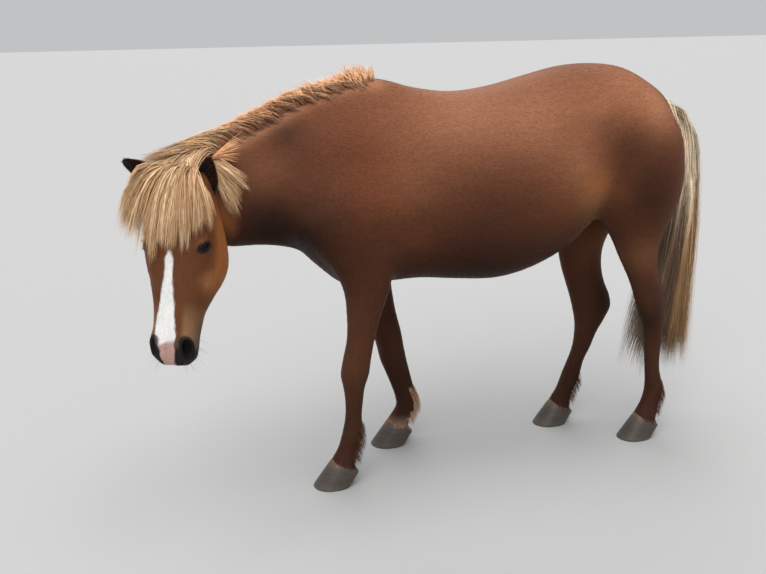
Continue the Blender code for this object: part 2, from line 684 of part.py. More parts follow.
def body_meshes():
    """The lofts of the body, with a round mound for each eye."""
    meshes = [trunk_mesh(), neck_mesh(), head_mesh(), dock_mesh()]
    for rows in (LEFT_FORE, RIGHT_FORE, LEFT_HIND, RIGHT_HIND):
        meshes.append(leg_mesh(rows))
    for side in (1, -1):
        meshes.append(sphere_mesh("lid", eye_centre(side), EYE_RADIUS + LID_THICKNESS, 32, 24))
    return meshes


def smooth_flesh(mesh):
    """Blends the lofts into each other above the legs, then evens out the whole skin."""
    points = points_of(mesh)
    upper = np.clip((points[:, 2] - BLEND_ABOVE) / BLEND_ABOVE_FADE, 0.0, 1.0)
    behind_head = np.clip((points[:, 0] - BLEND_BEHIND) / BLEND_BEHIND_FADE, 0.0, 1.0)
    relax(mesh, BLEND_ROUNDS, upper * behind_head, 0)
    relax(mesh, EVEN_ROUNDS, np.full(len(points), 1.0), EVEN_SWELL)


def refine_head(mesh):
    """Finer faces on the head, and finest at the nostrils and eyes."""
    refine(mesh, on_head(*HEAD_MIDDLE), HEAD_REACH)
    for side in (1, -1):
        refine(mesh, on_head(NOSTRIL_PLACE[0], NOSTRIL_PLACE[1], side * NOSTRIL_PLACE[2]), NOSTRIL_FINE_REACH)
        refine(mesh, eye_centre(side), EYE_FINE_REACH)


def flesh(collection):
    thing = melted(body_meshes(), VOXEL, collection)
    smooth_flesh(thing.data)
    refine_head(thing.data)
    shape_body(thing.data)
    shape_face(thing.data)
    return thing


def combine(thing, other, operation, solver="EXACT"):
    """Cuts, keeps or joins by another object and drops all but the largest closed surface."""
    modifier = thing.modifiers.new("combine", "BOOLEAN")
    modifier.object = other
    modifier.operation = operation
    modifier.solver = solver
    mesh = evaluated_mesh(thing)
    thing.modifiers.clear()
    thing.data = mesh
    keep_largest(mesh)


def keep_largest(mesh):
    """Removes every closed surface but the one with the most area."""
    shape = bmesh.new()
    shape.from_mesh(mesh)
    left = set(shape.faces)
    surfaces = []
    while left:
        front = [left.pop()]
        surface = list(front)
        while front:
            face = front.pop()
            for edge in face.edges:
                for other in edge.link_faces:
                    if other in left:
                        left.remove(other)
                        front.append(other)
                        surface.append(other)
        surfaces.append(surface)
    surfaces.sort(key=lambda faces: sum(face.calc_area() for face in faces))
    scraps = [face for surface in surfaces[:-1] for face in surface]
    bmesh.ops.delete(shape, geom=scraps, context="FACES")
    shape.to_mesh(mesh)
    shape.free()


def copy_of(thing, name, collection):
    return new_object(name, thing.data.copy(), collection)


def cube(name, collection):
    mesh = bpy.data.meshes.new(name)
    shape = bmesh.new()
    bmesh.ops.create_cube(shape, size=1.0)
    shape.to_mesh(mesh)
    shape.free()
    return new_object(name, mesh, collection)


def half_space(point, normal, reach, cutters):
    """A large cube that fills the side of a plane its normal points to."""
    box = cube("half_space", cutters)
    normal = Vector(normal).normalized()
    turn = normal.to_track_quat("Z", "Y").to_matrix()
    for vertex in box.data.vertices:
        corner = Vector((vertex.co.x, vertex.co.y, vertex.co.z + 0.5)) * reach
        vertex.co = Vector(point) + turn @ corner
    return box


def sloped_box(x_range, y_range, low, top, cutters):
    """A box whose top is a sloping plane, top being its height at a given x and y."""
    box = cube("sloped_box", cutters)
    for vertex in box.data.vertices:
        x = x_range[vertex.co.x > 0]
        y = y_range[vertex.co.y > 0]
        vertex.co = (x, y, top(x, y) if vertex.co.z > 0 else low)
    return box


def discard(*things):
    for thing in things:
        mesh = thing.data
        bpy.data.objects.remove(thing)
        bpy.data.meshes.remove(mesh)


def split_off(body, name, region, collection, cutters):
    """Takes the part of the body inside a region; region(grow) makes the region's cutter."""
    part = copy_of(body, name, collection)
    inside = region(-GAP / 2)
    outside = region(GAP / 2)
    combine(part, inside, "INTERSECT")
    combine(body, outside, "DIFFERENCE")
    discard(inside, outside)
    return part


def leg_region(side, cut, cutters):
    """The box around one leg, with its sloping top; side is -1 on the left."""
    front, back, inner, height, rise_outwards, rise_backwards = cut
    hinge = math.copysign(CUT_HINGE, rise_backwards)

    def region(grow):
        def top(x, y):
            return height + (abs(y) - inner) * rise_outwards + (x - hinge) * rise_backwards + grow
        y_range = sorted((side * inner, side * LEG_CUT_SIDE))
        return sloped_box((front - grow, back + grow), y_range, -0.10, top, cutters)
    return region


def neck_region(cutters):
    (top_x, top_z), (low_x, low_z) = NECK_CUT
    normal = Vector((low_z - top_z, 0.0, top_x - low_x)).normalized()

    def region(grow):
        point = Vector((top_x, 0.0, top_z)) - normal * grow
        return half_space(point, normal, 3.0, cutters)
    return region


def head_region(cutters):
    (down_a, out_a), (down_b, out_b) = HEAD_CUT
    down_face, out_of_face, _ = head_axes()
    normal = (down_face * (out_a - out_b) + out_of_face * (down_b - down_a)).normalized()

    def region(grow):
        point = on_head((down_a + down_b) / 2, (out_a + out_b) / 2, 0.0) - normal * grow
        return half_space(point, normal, 2.0, cutters)
    return region


def tail_region(cutters):
    def region(grow):
        box = cube("tail_box", cutters)
        for vertex in box.data.vertices:
            vertex.co = (TAIL_CUT_BACK if vertex.co.x > 0 else TAIL_CUT_X - grow,
                         math.copysign(TAIL_CUT_HALF_WIDTH, vertex.co.y), TAIL_CUT_HEIGHTS[vertex.co.z > 0])
        return box
    return region


def triangle_count(mesh):
    return sum(len(face.vertices) - 2 for face in mesh.polygons)


def thin_out(thing, mask, triangles):
    """Reduces the faces around the masked points to about a number of triangles."""
    mesh = thing.data
    inside = sum(len(face.vertices) - 2 for face in mesh.polygons if mask[face.vertices[0]])
    count = triangle_count(mesh)
    group = thing.vertex_groups.new(name="thin")
    group.add(np.nonzero(mask)[0].tolist(), 1.0, "REPLACE")
    modifier = thing.modifiers.new("thin", "DECIMATE")
    modifier.ratio = (count - inside + triangles) / count
    modifier.vertex_group = "thin"
    modifier.use_collapse_triangulate = True
    thing.data = evaluated_mesh(thing)
    thing.modifiers.clear()
    thing.vertex_groups.clear()


def head_zones(mesh):
    """Which points belong to the head, and which of those lie near an eye or a nostril."""
    places = along_head(points_of(mesh))
    on_the_head = np.linalg.norm(places - np.array(HEAD_MIDDLE), axis=1) <= HEAD_REACH
    fine = np.zeros(len(places), dtype=bool)
    for down, out, left in (EYE_PLACE, NOSTRIL_PLACE):
        for side in (1, -1):
            fine |= np.linalg.norm(places - np.array((down, out, left * side)), axis=1) < FINE_REACH
    return on_the_head, fine


def thin_flesh(thing):
    on_the_head, _ = head_zones(thing.data)
    thin_out(thing, ~on_the_head, BODY_TRIANGLES)
    on_the_head, fine = head_zones(thing.data)
    thin_out(thing, on_the_head & ~fine, HEAD_TRIANGLES)
    _, fine = head_zones(thing.data)
    thin_out(thing, fine, FINE_TRIANGLES)


def eye_outward(side):
    """The way the eye looks: sideways and a little forward."""
    _, out_of_face, own_left = head_axes()
    return (own_left * side * math.cos(EYE_TURN_FORWARD)
            + out_of_face * math.sin(EYE_TURN_FORWARD)).normalized()


def eye_frame(side):
    """Outward, along and up directions of the eye's opening."""
    down_face, out_of_face, _ = head_axes()
    outward = eye_outward(side)
    long_way = out_of_face * EYE_SLANT[0] + down_face * EYE_SLANT[1]
    long_way = (long_way - outward * long_way.dot(outward)).normalized()
    high_way = outward.cross(long_way)
    if high_way.dot(down_face) > 0:
        high_way = -high_way
    return outward, long_way, high_way


def almond(count):
    """Along and up values around the lids' opening; the upper lid is more arched."""
    outline = []
    for step in range(count):
        angle = 2 * math.pi * step / count
        arch = LID_UPPER_SHARE if math.sin(angle) > 0 else 1 - LID_UPPER_SHARE
        outline.append((math.cos(angle) * LID_OPENING_LENGTH / 2,
                        math.copysign(abs(math.sin(angle)) ** LID_ARCH, math.sin(angle))
                        * LID_OPENING_HEIGHT * arch))
    return outline


def lid_opening(side, cutters):
    """A prism through the lids, in the shape of their opening."""
    outward, long_way, high_way = eye_frame(side)
    rings = []
    for reach, widen in ((0.004, 0.85), (0.034, 1.15)):
        rings.append([list(eye_centre(side) + outward * reach + long_way * (a * widen) + high_way * (b * widen))
                      for a, b in almond(LID_POINTS)])
    return new_object("lid_opening", loft("lid_opening", np.array(rings)), cutters)


def open_eyes(head, cutters):
    for side in (1, -1):
        opening = lid_opening(side, cutters)
        combine(head, opening, "DIFFERENCE")
        socket = new_object("socket", sphere_mesh("socket", eye_centre(side), EYE_RADIUS + 1.3 * GAP,
                                                  EYE_SEGMENTS, EYE_RINGS), cutters)
        combine(head, socket, "DIFFERENCE")
        discard(opening, socket)


def ear_mesh(name):
    base, tip, opening, bow = EARS[name]
    down_face, out_of_face, own_left = head_axes()
    base = on_head(*base)
    axis = on_head(*tip) - base
    length = axis.length
    axis = axis.normalized()
    face = down_face * opening[0] + out_of_face * opening[1] + own_left * opening[2]
    face = (face - axis * face.dot(axis)).normalized()
    wide = axis.cross(face)
    rows = np.array(EAR_ROWS)
    rows = between(rows[:, 0], rows, np.linspace(0.0, 1.0, EAR_LEVELS))
    rings = []
    for share, half, deep, opened, wall in rows:
        centre = base + axis * (share * length) + (face * EAR_BULGE + wide * bow) * math.sin(math.pi * share)
        angles = np.linspace(math.radians(opened), 2 * math.pi - math.radians(opened), EAR_ARC_POINTS)
        outer = [centre + face * (deep * math.cos(a)) + wide * (half * math.sin(a)) for a in angles]
        middle = centre + face * (deep * wall * 0.5)
        inner = [middle + face * (deep * (1 - wall) * math.cos(a)) + wide * (half * (1 - wall) * math.sin(a))
                 for a in angles[::-1]]
        rings.append([list(point) for point in outer + inner])
    return loft(name, np.array(rings))


def hoof_mesh(name):
    front, back, middle, half = HOOVES[name]
    toe = front - CORONET_FRONT_HEIGHT / math.tan(HOOF_TOE_SLOPE)
    heel = toe + HOOF_GROUND_LENGTH
    across, along = egg(HOOF_POINTS, 3.0, 2.0)
    rings = []
    for z, inset in ((0.0, HOOF_EDGE), (HOOF_EDGE, 0.0)) + tuple((level, 0.0) for level in HOOF_LEVELS):
        start = toe + z / math.tan(HOOF_TOE_SLOPE) + inset
        end = heel + z * HOOF_HEEL_LEAN - inset
        wide = half - inset - HOOF_TAPER * z
        rings.append(np.stack([(start + end) / 2 + along * (end - start) / 2,
                               middle + across * wide, np.full(HOOF_POINTS, z)], axis=1))
    return loft(name, np.array(rings))


def coronet_plane(name):
    front, back, middle, _ = HOOVES[name]
    point = Vector((front, middle, CORONET_FRONT_HEIGHT))
    slope = Vector((back - front, 0.0, CORONET_BACK_HEIGHT - CORONET_FRONT_HEIGHT))
    return point, Vector((-slope.z, 0.0, slope.x)).normalized()


def neck_row(share):
    """Middle, rise, side and half width of the neck at a share of its length."""
    flat = np.array([[*crest, *throat, half] for crest, throat, half in NECK])
    keys = np.linspace(0.0, 1.0, len(flat))
    at = np.array([share - 0.02, share, share + 0.02])
    rows = between(keys, flat, at)
    middle = (rows[:, 0:3] + rows[:, 3:6]) / 2
    rise = (rows[1, 0:3] - rows[1, 3:6]) / 2
    side = np.cross(middle[2] - middle[0], rise)
    return middle[1], rise, side / np.linalg.norm(side), rows[1, 6]


class Guard:
    """Keeps hair clear of the skin, the ears and the eyes."""

    def __init__(self, skin):
        mesh = skin.data
        self.tree = BVHTree.FromPolygons([vertex.co.copy() for vertex in mesh.vertices],
                                         [tuple(face.vertices) for face in mesh.polygons])
        self.ears = [(on_head(*base), on_head(*tip)) for base, tip, _, _ in EARS.values()]
        self.eyes = [eye_centre(side) + eye_outward(side) * 0.006 for side in (1, -1)]

    def normal(self, point):
        return self.tree.find_nearest(point)[1]

    def clear(self, point, lift):
        """The point, moved out until it is clear."""
        for base, tip in self.ears:
            along = tip - base
            share = min(1.0, max(-0.1, (point - base).dot(along) / along.length_squared))
            away = point - (base + along * share)
            if away.length < EAR_CLEARANCE:
                point = point + away.normalized() * (EAR_CLEARANCE - away.length)
        for eye in self.eyes:
            away = point - eye
            if away.length < EYE_CLEARANCE:
                point = point + away.normalized() * (EYE_CLEARANCE - away.length)
        near, normal, _, _ = self.tree.find_nearest(point)
        height = (point - near).dot(normal)
        if height < lift:
            point = point + normal * (lift - height)
        return point


def lock(path, width, thickness, facing, root_share=0.35):
    """A flat tapered lock of hair along a path, with its first point sunk in the skin."""
    last = len(path) - 1
    vertices = []
    normal = facing(path[0])
    for step, point in enumerate(path[:-1]):
        share = step / last
        ahead = (path[step + 1] - path[max(step - 1, 0)]).normalized()
        normal = (normal + facing(point)).normalized()
        across = ahead.cross(normal).normalized()
        outward = across.cross(ahead)
        wide = width / 2 * min(1.0, root_share + 1.8 * share) * (1 - share ** 2.4)
        vertices += [point + across * wide, point + outward * thickness * (1 - 0.6 * share),
                     point - across * wide]
    vertices.append(path[-1])
    faces = [(2, 1, 0)]
    for step in range(last - 1):
        for corner in range(3):
            following = (corner + 1) % 3
            faces.append((step * 3 + corner, step * 3 + following,
                          step * 3 + 3 + following, step * 3 + 3 + corner))
    for corner in range(3):
        faces.append(((last - 1) * 3 + corner, (last - 1) * 3 + (corner + 1) % 3, last * 3))
    mesh = bpy.data.meshes.new("lock")
    mesh.from_pydata([tuple(vertex) for vertex in vertices], [], faces)
    shape = bmesh.new()
    shape.from_mesh(mesh)
    bmesh.ops.recalc_face_normals(shape, faces=shape.faces)
    bmesh.ops.triangulate(shape, faces=shape.faces)
    shape.to_mesh(mesh)
    shape.free()
    return mesh


def curve_path(corners, steps, lift, guard, sway, chance):
    """Points along a Bezier curve, the first one sunk, the others kept clear of the body."""
    path = []
    for step in range(steps + 1):
        share = step / steps
        points = list(corners)
        while len(points) > 1:
            points = [a.lerp(b, share) for a, b in zip(points[:-1], points[1:])]
        point = points[0]
        if step > 0:
            outward = guard.normal(point)
            wave = Vector((chance.uniform(-1, 1), chance.uniform(-1, 1), chance.uniform(-1, 1))) * sway * share
            point = guard.clear(point + wave - outward * wave.dot(outward), lift * min(1.0, share * 3))
        path.append(point)
    return path


def on_neck(share, angle, grow):
    """A place around the neck: angle 90 is the crest, 0 the middle of its right side."""
    middle, rise, side, half = neck_row(min(share, 0.98))
    angle = math.radians(angle)
    around = rise * math.sin(angle) * (1 + grow / np.linalg.norm(rise)) + side * math.cos(angle) * (half + grow)
    return Vector(middle + around)


def mane_locks(guard, chance):
    """Locks along the crest in two layers, thrown over to the right side of the neck."""
    locks = []
    for place in range(MANE_LOCKS):
        layer = place % 2
        share = MANE_START + (MANE_END - MANE_START) * (place + chance.uniform(0.35, 0.65)) / MANE_LOCKS
        over_poll = max(0.0, share - SWEEP_START) / (0.88 - SWEEP_START)
        short = min(1.0, 0.5 + (share - MANE_START) * 1.8)
        root = guard.tree.find_nearest(on_neck(share, MANE_ROOT_ANGLES[layer], 0.0))[0]
        inward = guard.normal(root)
        stand = MANE_STAND * (0.75 + 0.25 * layer) * (1 + 0.5 * over_poll) * short
        rise = root + Vector((-MANE_LEAN, 0.0, stand)) + inward * 0.01
        middle = on_neck(share + 0.05, MANE_FALL_ANGLE, 0.035 + 0.045 * over_poll + 0.012 * layer)
        end = on_neck(share + 0.07 + chance.uniform(-0.02, 0.02),
                      MANE_FALL_ANGLE - (MANE_FALL_REACH + 14.0 * layer + chance.uniform(-9.0, 9.0)) * short,
                      0.012 + 0.014 * layer)
        path = curve_path((root - inward * ROOT_DEPTH, rise, middle, end), MANE_STEPS,
                          HAIR_LIFT + HAIR_LAYER * layer, guard, HAIR_SWAY, chance)
        locks.append(lock(path, chance.uniform(*MANE_WIDTHS), HAIR_THICKNESS, guard.normal))
    for root_share, middle, end in POLL_SWEEP:
        root = guard.tree.find_nearest(on_neck(root_share, 96.0, 0.0))[0]
        inward = guard.normal(root)
        path = curve_path((root - inward * ROOT_DEPTH, root + Vector((-MANE_LEAN, 0.0, SWEEP_RISE)),
                           on_head(*middle), on_head(*end)),
                          MANE_STEPS, HAIR_LIFT + HAIR_LAYER, guard, HAIR_SWAY, chance)
        locks.append(lock(path, SWEEP_WIDTH, HAIR_THICKNESS, guard.normal))
    for place in range(TUFT_LOCKS):
        share = TUFT_START + (TUFT_END - TUFT_START) * (place + 0.5) / TUFT_LOCKS
        root = guard.tree.find_nearest(on_neck(share, TUFT_ROOT_ANGLE, 0.0))[0]
        inward = guard.normal(root)
        end_angle = TUFT_END_ANGLE + 12.0 * (place % 2) + chance.uniform(-5.0, 5.0)
        path = curve_path((root - inward * ROOT_DEPTH, root + inward * 0.040,
                           on_neck(share - 0.02, TUFT_MIDDLE_ANGLE, 0.040), on_neck(share - 0.05, end_angle, 0.014)),
                          MANE_STEPS - 1, HAIR_LIFT + HAIR_LAYER * (place % 2), guard, HAIR_SWAY, chance)
        locks.append(lock(path, chance.uniform(*TUFT_WIDTHS), HAIR_THICKNESS, guard.normal))
    return locks


def forelock_locks(guard, chance):
    """Locks from the poll in layers, fanned over the forehead and out past its right side."""
    rows = np.array(FORELOCK_FAN)
    locks = []
    for place in range(FORELOCK_LOCKS):
        layer = place % 3
        fan = -1.0 + 2.0 * (place + 0.5) / FORELOCK_LOCKS
        _, end_down, end_out, end_left, mid_down, mid_out, mid_left = between(
            rows[:, 0], rows, np.array([fan]))[0]
        root = guard.tree.find_nearest(on_head(0.040 - 0.024 * layer, 0.0, 0.048 * fan))[0]
        inward = guard.normal(root)
        middle = on_head(mid_down * 0.9 - 0.012 * layer, mid_out + HAIR_LAYER * layer, mid_left)
        short = 1.0 - 0.07 * layer + chance.uniform(-0.05, 0.03)
        end = on_head(end_down * short, end_out + HAIR_LAYER * layer, end_left)
        rise = root + inward * (0.030 + 0.018 * layer)
        path = curve_path((root - inward * ROOT_DEPTH, rise, middle, end), FORELOCK_STEPS,
                          HAIR_LIFT + HAIR_LAYER * layer, guard, HAIR_SWAY, chance)
        locks.append(lock(path, chance.uniform(*FORELOCK_WIDTHS), HAIR_THICKNESS, guard.normal, 0.25))
    return locks


def tail_locks(guard, chance):
    """Long locks from the dock in layers, hanging between the hind legs and behind them."""
    centres = np.array([centre for centre, _ in DOCK])
    locks = []
    for place in range(TAIL_LOCKS):
        layer = place % 3
        share = (place + 0.5) / TAIL_LOCKS
        down_dock = 0.32 + 0.62 * ((place * 5) % TAIL_LOCKS) / TAIL_LOCKS
        root = Vector([np.interp(down_dock, np.linspace(0, 1, len(centres)), centres[:, k]) for k in range(3)])
        end_x = TAIL_ENDS_FRONT + (TAIL_ENDS_BACK - TAIL_ENDS_FRONT) * share
        end = Vector((end_x, 0.008 + 0.040 * (layer - 1), chance.uniform(*TAIL_END_HEIGHTS)))
        out_of_dock = TAIL_SWELL_FRONT + (TAIL_SWELL_BACK - TAIL_SWELL_FRONT) * share
        swell = Vector((out_of_dock, 0.040 * (layer - 1), -0.10))
        above = Vector((end.x * 0.5 + TAIL_HANG_X, 0.050 * (layer - 1), TAIL_HANG_HEIGHT))
        path = curve_path((root, root + swell, above, end), TAIL_STEPS, ROOT_DEPTH, guard, TAIL_SWAY, chance)
        outward = Vector((0.3 * share, 1.0 if layer > 0 else -1.0, 0.0))
        locks.append(lock(path, chance.uniform(*TAIL_WIDTHS), TAIL_THICKNESS,
                          lambda point: outward, 0.20))
    return locks


def touches(mesh, others, gap):
    """Whether a lock, fattened by a gap, meets any of the other meshes."""
    fat = points_of(mesh) + normals_of(mesh) * gap
    tree = BVHTree.FromPolygons(fat.tolist(), [tuple(face.vertices) for face in mesh.polygons])
    for other in others:
        other_tree = BVHTree.FromPolygons(points_of(other).tolist(),
                                          [tuple(face.vertices) for face in other.polygons])
        if tree.overlap(other_tree):
            return True
    return False


def join(thing, meshes, collection):
    """Fuses closed meshes to a part of the body in one union."""
    for mesh in meshes:
        new_object(mesh.name, mesh, collection)
    modifier = thing.modifiers.new("join", "BOOLEAN")
    modifier.operand_type = "COLLECTION"
    modifier.collection = collection
    modifier.operation = "UNION"
    modifier.solver = "MANIFOLD"
    thing.data = evaluated_mesh(thing)
    thing.modifiers.clear()
    keep_largest(thing.data)
    discard(*collection.objects)


def material(name, colour, roughness):
    made = bpy.data.materials.new(name)
    made.use_nodes = True
    shader = made.node_tree.nodes["Principled BSDF"]
    shader.inputs["Base Color"].default_value = (*colour, 1.0)
    shader.inputs["Roughness"].default_value = roughness
    shader.inputs["Metallic"].default_value = 0.0
    return made


def dress(collection):
    """Gives every part its own material."""
    for thing in collection.objects:
        colour, roughness = next(look for start, look in LOOKS if thing.name.startswith(start))
        thing.data.materials.clear()
        thing.data.materials.append(material(thing.name, colour, roughness))


def set_down(collection):
    """Centres all the parts over the origin, with the lowest point at height zero."""
    corners = np.concatenate([points_of(thing.data) for thing in collection.objects])
    low = corners.min(axis=0)
    high = corners.max(axis=0)
    shift = np.array(((low[0] + high[0]) / 2, (low[1] + high[1]) / 2, low[2]))
    for thing in collection.objects:
        set_points(thing.data, points_of(thing.data) - shift)


def main():
    for thing in list(bpy.data.objects):
        bpy.data.objects.remove(thing)
    horse = bpy.data.collections.new("icelandic_horse")
    bpy.context.scene.collection.children.link(horse)
    cutters = bpy.data.collections.new("cutters")
    bpy.context.scene.collection.children.link(cutters)
    body = flesh(horse)
    thin_flesh(body)
    whole = copy_of(body, "whole", cutters)
    set_points(whole.data, points_of(whole.data) + normals_of(whole.data) * GAP * 1.5)
    body.name = "torso"
    for name, region in (("leg_front_left", leg_region(-1, FORE_CUT, cutters)),
                         ("leg_front_right", leg_region(1, FORE_CUT, cutters)),
                         ("leg_hind_left", leg_region(-1, HIND_CUT[-1], cutters)),
                         ("leg_hind_right", leg_region(1, HIND_CUT[1], cutters)),
                         ("tail", tail_region(cutters)),
                         ("neck", neck_region(cutters))):
        split_off(body, name, region, horse, cutters)
    neck = bpy.data.objects["neck"]
    head = split_off(neck, "head", head_region(cutters), horse, cutters)
    open_eyes(head, cutters)
    for name in EARS:
        ear = new_object(name, ear_mesh(name), horse)
        combine(ear, whole, "DIFFERENCE")
    for name in HOOVES:
        leg = bpy.data.objects[name.replace("hoof", "leg")]
        hoof = new_object(name, hoof_mesh(name), horse)
        point, normal = coronet_plane(name)
        below = half_space(point + normal * GAP / 2, -normal, HOOF_CUT_REACH, cutters)
        above = half_space(point - normal * GAP / 2, normal, HOOF_CUT_REACH, cutters)
        combine(leg, below, "DIFFERENCE")
        combine(hoof, above, "DIFFERENCE")
        discard(below, above)
    for side, name in ((1, "eye_left"), (-1, "eye_right")):
        new_object(name, sphere_mesh(name, eye_centre(side), EYE_RADIUS, EYE_SEGMENTS, EYE_RINGS), horse)
    guard = Guard(whole)
    solid = [bpy.data.objects[name].data for name in list(EARS) + ["eye_left", "eye_right"]]
    forelock = [hair for hair in forelock_locks(guard, random.Random(FORELOCK_SEED))
                if not touches(hair, solid, HAIR_GAP)]
    mane = [hair for hair in mane_locks(guard, random.Random(MANE_SEED))
            if not touches(hair, solid + forelock, HAIR_GAP)]
    tail = tail_locks(guard, random.Random(TAIL_SEED))
    discard(whole)
    join(head, forelock, cutters)
    join(neck, mane, cutters)
    join(bpy.data.objects["tail"], tail, cutters)
    cutters.hide_render = True
    dress(horse)
    set_down(horse)


main()
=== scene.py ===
# The looks of a life-size icelandic horse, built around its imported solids.
import math

import bmesh
import bpy
import numpy as np
from mathutils import Matrix, Vector
from mathutils.bvhtree import BVHTree


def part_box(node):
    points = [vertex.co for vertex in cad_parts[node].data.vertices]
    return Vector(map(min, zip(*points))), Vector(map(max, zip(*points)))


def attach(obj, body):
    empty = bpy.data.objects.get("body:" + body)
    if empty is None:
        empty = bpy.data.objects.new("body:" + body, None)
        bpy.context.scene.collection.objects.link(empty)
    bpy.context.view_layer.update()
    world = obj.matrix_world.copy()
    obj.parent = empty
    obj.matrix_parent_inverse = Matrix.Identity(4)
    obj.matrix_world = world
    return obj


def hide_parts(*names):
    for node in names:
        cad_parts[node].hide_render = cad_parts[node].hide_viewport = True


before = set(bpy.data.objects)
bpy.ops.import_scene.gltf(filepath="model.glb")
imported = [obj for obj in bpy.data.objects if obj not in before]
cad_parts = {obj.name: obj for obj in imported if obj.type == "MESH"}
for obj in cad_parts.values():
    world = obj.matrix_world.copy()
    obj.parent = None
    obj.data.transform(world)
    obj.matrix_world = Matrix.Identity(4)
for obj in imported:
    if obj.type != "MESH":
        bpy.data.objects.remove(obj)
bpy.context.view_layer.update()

# Coat: how far the skin lies inside the solids
COAT_DEPTH = 0.0025
FACE_COAT_DEPTH = 0.0012

# Driving sizes of the body
WITHERS_HEIGHT = 1.372
VOXEL = 0.006
RING_POINTS = 96
SLICES_PER_METRE = 90
# the lofts blend into each other above this height and behind this x, over these distances
BLEND_ROUNDS = 70
BLEND_ABOVE = 0.66
BLEND_ABOVE_FADE = 0.12
BLEND_BEHIND = -0.88
BLEND_BEHIND_FADE = 0.06
EVEN_ROUNDS = 12
EVEN_SWELL = 1.02

# Trunk: x, top, bottom, half width, height of the widest line, top and bottom roundness
TRUNK = (
    (-0.700, 0.985, 0.895, 0.060, 0.930, 2.00, 2.00),
    (-0.680, 1.050, 0.860, 0.115, 0.930, 2.00, 2.00),
    (-0.635, 1.140, 0.838, 0.165, 0.930, 2.00, 2.00),
    (-0.560, 1.240, 0.764, 0.200, 0.930, 1.90, 2.10),
    (-0.460, 1.340, 0.682, 0.215, 0.940, 1.70, 2.20),
    (-0.340, WITHERS_HEIGHT, 0.680, 0.232, 0.940, 1.60, 2.20),
    (-0.200, 1.337, 0.684, 0.258, 0.940, 1.75, 2.20),
    (-0.070, 1.317, 0.670, 0.275, 0.930, 1.95, 2.20),
    (0.080, 1.330, 0.661, 0.282, 0.930, 2.05, 2.20),
    (0.220, 1.362, 0.689, 0.275, 0.950, 2.10, 2.10),
    (0.340, 1.389, 0.743, 0.258, 0.990, 2.10, 2.00),
    (0.460, 1.395, 0.850, 0.250, 1.080, 2.10, 2.00),
    (0.580, 1.378, 0.910, 0.240, 1.100, 2.00, 2.00),
    (0.670, 1.332, 0.930, 0.200, 1.100, 2.00, 2.00),
    (0.735, 1.287, 0.950, 0.150, 1.100, 2.00, 2.00),
    (0.775, 1.235, 1.000, 0.090, 1.120, 2.00, 2.00),
)

# Neck: crest point, throat point, half width
NECK = (
    ((-0.340, 0.000, 1.345), (-0.500, 0.000, 0.770), 0.190),
    ((-0.420, 0.000, 1.348), (-0.590, 0.000, 0.806), 0.180),
    ((-0.530, -0.005, 1.325), (-0.670, 0.000, 0.828), 0.155),
    ((-0.640, -0.020, 1.280), (-0.730, -0.010, 0.838), 0.126),
    ((-0.745, -0.045, 1.232), (-0.775, -0.025, 0.843), 0.106),
    ((-0.835, -0.082, 1.194), (-0.825, -0.052, 0.848), 0.096),
    ((-0.905, -0.125, 1.158), (-0.872, -0.084, 0.866), 0.088),
    ((-0.950, -0.162, 1.115), (-0.912, -0.125, 0.930), 0.070),
)

# Legs: height, front, back, middle line, half width, back and front roundness
LEFT_FORE = (
    (1.160, -0.490, -0.420, -0.120, 0.020, 2.0, 2.0),
    (1.080, -0.545, -0.370, -0.140, 0.055, 2.0, 2.0),
    (0.990, -0.595, -0.330, -0.150, 0.078, 2.0, 2.0),
    (0.900, -0.608, -0.310, -0.155, 0.086, 2.0, 2.0),
    (0.820, -0.570, -0.303, -0.155, 0.080, 2.0, 2.0),
    (0.760, -0.525, -0.315, -0.152, 0.070, 2.0, 2.0),
    (0.690, -0.492, -0.330, -0.148, 0.060, 2.0, 2.0),
    (0.600, -0.481, -0.360, -0.142, 0.050, 2.0, 2.0),
    (0.510, -0.484, -0.385, -0.140, 0.043, 2.1, 2.1),
    (0.450, -0.497, -0.398, -0.140, 0.043, 2.3, 2.3),
    (0.390, -0.506, -0.408, -0.140, 0.043, 2.2, 2.4),
    (0.350, -0.499, -0.421, -0.140, 0.037, 2.0, 2.3),
    (0.300, -0.494, -0.428, -0.140, 0.031, 1.9, 2.1),
    (0.240, -0.496, -0.434, -0.140, 0.029, 1.9, 2.1),
    (0.200, -0.503, -0.433, -0.140, 0.034, 2.0, 2.1),
    (0.165, -0.512, -0.436, -0.140, 0.036, 2.0, 2.1),
    (0.135, -0.522, -0.446, -0.140, 0.033, 2.0, 2.1),
    (0.105, -0.538, -0.455, -0.140, 0.037, 2.0, 2.1),
    (0.075, -0.554, -0.461, -0.140, 0.044, 2.0, 2.1),
    (0.025, -0.564, -0.466, -0.140, 0.046, 2.0, 2.1),
)
